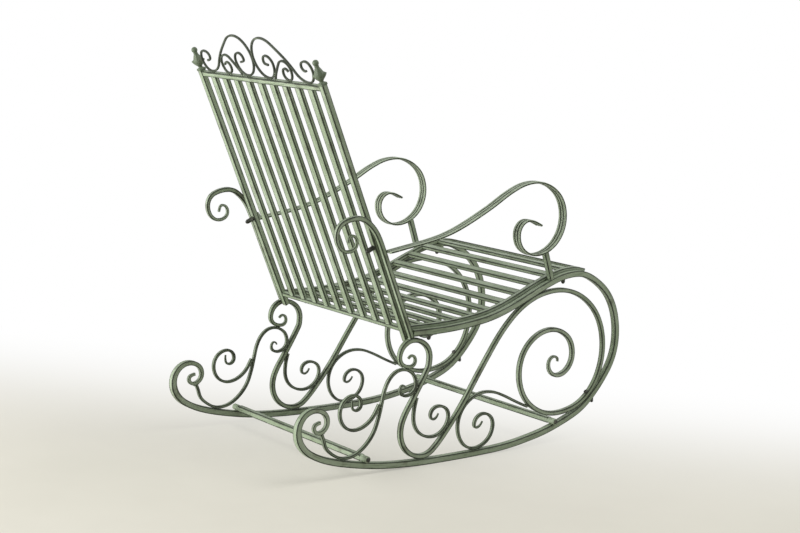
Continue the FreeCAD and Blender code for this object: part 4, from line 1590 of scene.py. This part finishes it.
@dataclass
class Fasteners:
    """Dark bolts, and hexagon nuts with closed domes on washers."""

    shank: float = 3.0
    head: Span = (6.0, 3.6)
    nut_flats: float = 10.0
    nut_height: float = 7.0
    back_nut_height: float = 18.0
    dome: float = 4.9
    washer: Span = (6.5, 1.2)
    rail_washer: float = 8.5
    sink: float = 0.5
    bevel: float = 0.2
    end_bevel: float = 0.6

    ROUND_STEPS = 7
    BOLT_SIDES = 20
    NUT_SIDES = 48
    TIP = 0.4
    HEAD_FLAT = 0.35
    HEAD_CROWN = 0.7
    CHAMFER_SHARE = 0.9
    CHAMFER = 0.5
    BORE_PLAY = 0.05

    def bolt(self, shop: Workshop, end: float, headed: bool = True) -> bpy.types.Object:
        """Make a bolt pattern along Z.

        Args:
            shop: what makes it.
            end: height of the shank's end.
            headed: with a low round head under the origin, or a plain stud.

        Returns:
            The pattern's object.
        """
        radius, height = self.head
        profile = [(self.TIP, self.sink), (self.shank - self.TIP, self.sink)]
        if headed:
            profile = [(self.end_bevel, -height)]
            for k in range(1, self.ROUND_STEPS + 1):
                angle = math.pi / 2 * k / self.ROUND_STEPS
                across = radius * (self.HEAD_FLAT + (1 - self.HEAD_FLAT) * math.sin(angle))
                profile.append((across, height * (self.HEAD_CROWN * (1 - math.cos(angle)) - 1)))
            profile += [(radius, -self.bevel), (radius - self.bevel, 0.0), (self.shank, 0.0)]
        neck = end - self.end_bevel
        profile += [(self.shank, 1.0), (self.shank, neck), (self.shank - self.end_bevel, end), (self.TIP, end)]
        return shop.turned("bolt_pattern", profile, self.BOLT_SIDES)

    def nut(self, shop: Workshop, height: float, wash_radius: float) -> bpy.types.Object:
        """Make a nut pattern: washer on the origin, chamfered hexagon above it and a dome.

        Args:
            shop: what makes it.
            height: height of the hexagon.
            wash_radius: radius of the washer.

        Returns:
            The pattern's object.
        """
        radius = self.nut_flats / math.sqrt(3)
        wash = self.washer[1]
        top = wash + height
        sides, bevel, chamfer = self.NUT_SIDES, self.bevel, radius * self.CHAMFER_SHARE
        profile = [
            (self.shank + self.BORE_PLAY, 0.0), (wash_radius - bevel, 0.0), (wash_radius, bevel),
            (wash_radius, wash - bevel), (wash_radius - bevel, wash), (chamfer, wash), (radius, wash + self.CHAMFER),
            (radius, wash + height / 2), (radius, top - self.CHAMFER), (chamfer, top),
        ]
        for k in range(self.ROUND_STEPS):
            angle = math.pi / 2 * k / self.ROUND_STEPS
            profile.append((self.dome * math.cos(angle), top + self.dome * math.sin(angle)))
        made = shop.turned("nut_pattern", profile, sides)
        for k, vertex in enumerate(made.data.vertices):
            base, rise = profile[k // sides]
            if wash < rise <= top:
                angle = (2 * math.pi * (k % sides) / sides) % (math.pi / 3) - math.pi / 6
                shrink = min(self.nut_flats / 2 / math.cos(angle), base) / base
                vertex.co.x *= shrink
                vertex.co.y *= shrink
        return made

    def set_kind(
        self, shop: Workshop, kind: str, spots: list[tuple[Vector, Vector]], bolt: bpy.types.Object,
        nut: bpy.types.Object | None = None, grip: float = 0.0,
    ) -> None:
        """Set one kind of bolt, and the nuts on it, on both sides.

        Args:
            shop: what makes them.
            kind: first word of the pieces' names.
            spots: drawn place under the head and way of the shank, on the right side.
            bolt, nut: the patterns.
            grip: distance from that place to the nut's washer.
        """
        places, axes = [], []
        for spot, way in spots:
            for side in Side:
                places.append(shop.rest.place(-spot.x * side.value, spot.y, spot.z))
                axes.append(shop.rest.way(-way.x * side.value, way.y, way.z))
        shop.fit(f"{kind}_bolts", bolt, places, axes, shop.dark, Slot.DARK, f"{kind}_bolts")
        if nut is not None:
            seats = [place + axis * grip * MM for place, axis in zip(places, axes)]
            shop.fit(f"{kind}_nuts", nut, seats, axes, shop.dark, Slot.DARK, "cap_nuts")

    def build(self, shop: Workshop, back: BackPanel, seat: SeatPanel, stretchers: Stretchers) -> None:
        """Make the bolts and nuts.

        Args:
            shop: what makes them.
            back, seat, stretchers: what they hold.
        """
        wash_radius, wash = self.washer
        grip = seat.top + seat.lug_bottom + GAP
        spots = []
        for y in seat.bolts_y:
            u, v, heading = seat.line.at_u(y)
            up = Vector((0, -math.sin(heading), math.cos(heading)))
            spots.append((Vector((-seat.bar_middle, u, v)) + up * seat.top, -up))
        bolt = self.bolt(shop, grip + wash + self.nut_height, headed=False)
        self.set_kind(shop, "seat", spots, bolt, self.nut(shop, self.nut_height, wash_radius), grip)

        front = -back.stile[1] / 2 - 2 * GAP - back.tab
        grip = back.tab + back.stile[1] + 3 * GAP
        spots = [(back.drawn(-back.stile_middle, back.bolt_height, front), back.rear)]
        bolt = self.bolt(shop, grip + wash + self.back_nut_height)
        self.set_kind(shop, "back", spots, bolt, self.nut(shop, self.back_nut_height, wash_radius), grip)

        y, z, heading = SideFrame.LEG_AT_RAIL
        angle = math.radians(heading)
        outward = Vector((0, -math.sin(angle), math.cos(angle)))
        stand = SideFrame.leg / 2 + SideFrame.bolt_stand
        grip = SideFrame.leg + SideFrame.rail + SideFrame.bolt_stand + 3 * GAP
        spots = [(Vector((-SideFrame.middle, y, z)) - outward * stand, outward)]
        bolt = self.bolt(shop, grip + wash + self.nut_height)
        self.set_kind(shop, "rail", spots, bolt, self.nut(shop, self.nut_height, self.rail_washer), grip)

        outer = -stretchers.sleeve_inner - stretchers.sleeve_length - GAP
        axes = [stretchers.axis(y) for y in (stretchers.rear_y, stretchers.front_y)]
        spots = [(Vector((outer, axis.y, axis.z)), Vector((1, 0, 0))) for axis in axes]
        self.set_kind(shop, "stretcher", spots, self.bolt(shop, stretchers.sleeve_length + stretchers.bolt_in))


@dataclass
class Studio:
    """Pale floor, white surroundings, soft lamps and the camera."""

    camera_place: Vector = field(default_factory=lambda: Vector((-3.04264, 2.66663, 1.0766)))
    forward: Vector = field(default_factory=lambda: Vector((0.745484, -0.648472, -0.154037)))
    right: Vector = field(default_factory=lambda: Vector((-0.64641, -0.75976, 0.07008)))
    lens: float = 70.62
    sensor: float = 36.0
    ambient: float = 0.36
    floor_radius: float = 14.0
    floor_sides: int = 96

    def build(self) -> None:
        """Set up floor, world, lamps and camera."""
        self.floor()
        self.world()
        rear, top = Vector((0.9, 3.2, 0.75)), Vector((-1.2, -0.9, 2.9))
        self.lamp("rear_softbox", rear, target=Vector((0.0, 0.1, 0.55)), size=(2.6, 1.5), power=140.0)
        self.lamp("top_softbox", top, target=Vector((0.0, 0.0, 0.3)), size=(2.6, 2.6), power=60.0)
        self.camera()

    def floor(self) -> None:
        """Lay the floor."""
        shape = bmesh.new()
        bmesh.ops.create_circle(shape, cap_ends=True, radius=self.floor_radius, segments=self.floor_sides)
        made = meshed("studio_floor", shape)
        made.data.materials.append(FloorSheet("pale_floor").build())

    def world(self) -> None:
        """White to the camera, softer as a light."""
        world = bpy.data.worlds.new("studio")
        bpy.context.scene.world = world
        world.use_nodes = True
        made = Nodes(world.node_tree)
        level = made.ranged(made.seen(), (0.0, 1.0), (self.ambient, 1.0), "LINEAR")
        made.feed_named(made.nodes["Background"], Color=WHITE, Strength=level)

    def lamp(self, name: str, place: Vector, target: Vector, size: Span, power: float) -> None:
        """Hang a soft lamp.

        Args:
            name: the lamp's name.
            place, target: where it is and where it points.
            size: its two sides in metres.
            power: watts.
        """
        data = bpy.data.lights.new(name, "AREA")
        data.shape = "RECTANGLE"
        data.size, data.size_y = size
        data.energy = power
        made = put(name, data)
        made.matrix_world = Matrix.Translation(place) @ (target - place).to_track_quat("-Z", "Y").to_matrix().to_4x4()
        made.visible_camera = False

    def camera(self) -> None:
        """Stand the camera where the photograph was taken."""
        data = bpy.data.cameras.new("photo_camera")
        data.lens = self.lens
        data.sensor_width = self.sensor
        data.sensor_fit = "HORIZONTAL"
        back = -self.forward.normalized()
        right = (self.right - self.right.project(back)).normalized()
        turn = Matrix((right, back.cross(right), back)).transposed()
        made = put("photo_camera", data)
        made.matrix_world = Matrix.Translation(self.camera_place) @ turn.to_4x4()
        bpy.context.scene.camera = made


def main() -> None:
    """Build the chair and its studio."""
    logging.basicConfig(level=logging.INFO, format="%(name)s: %(message)s")
    bpy.context.scene.view_settings.view_transform = "Standard"
    rest = Rest.found(REST_TILT, BarLine(SideFrame.rail_knots()), SideFrame.rail / 2, "right_rocker_rail")
    log.info("rest shift %.6f %.6f", rest.shift_y, rest.shift_z)
    shop = Workshop(rest)
    for side in Side:
        SideFrame(side).build(shop)
    panels = BackPanel(), SeatPanel(), Stretchers()
    for panel in panels:
        panel.build(shop)
    Fasteners().build(shop, *panels)
    for name in ("seat_lugs", "back_tabs"):
        node = frame["nodes"][name]
        node.data.materials.clear()
        node.data.materials.append(shop.paint)
    Studio().build()
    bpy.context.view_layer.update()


if __name__ == "__main__":
    main()
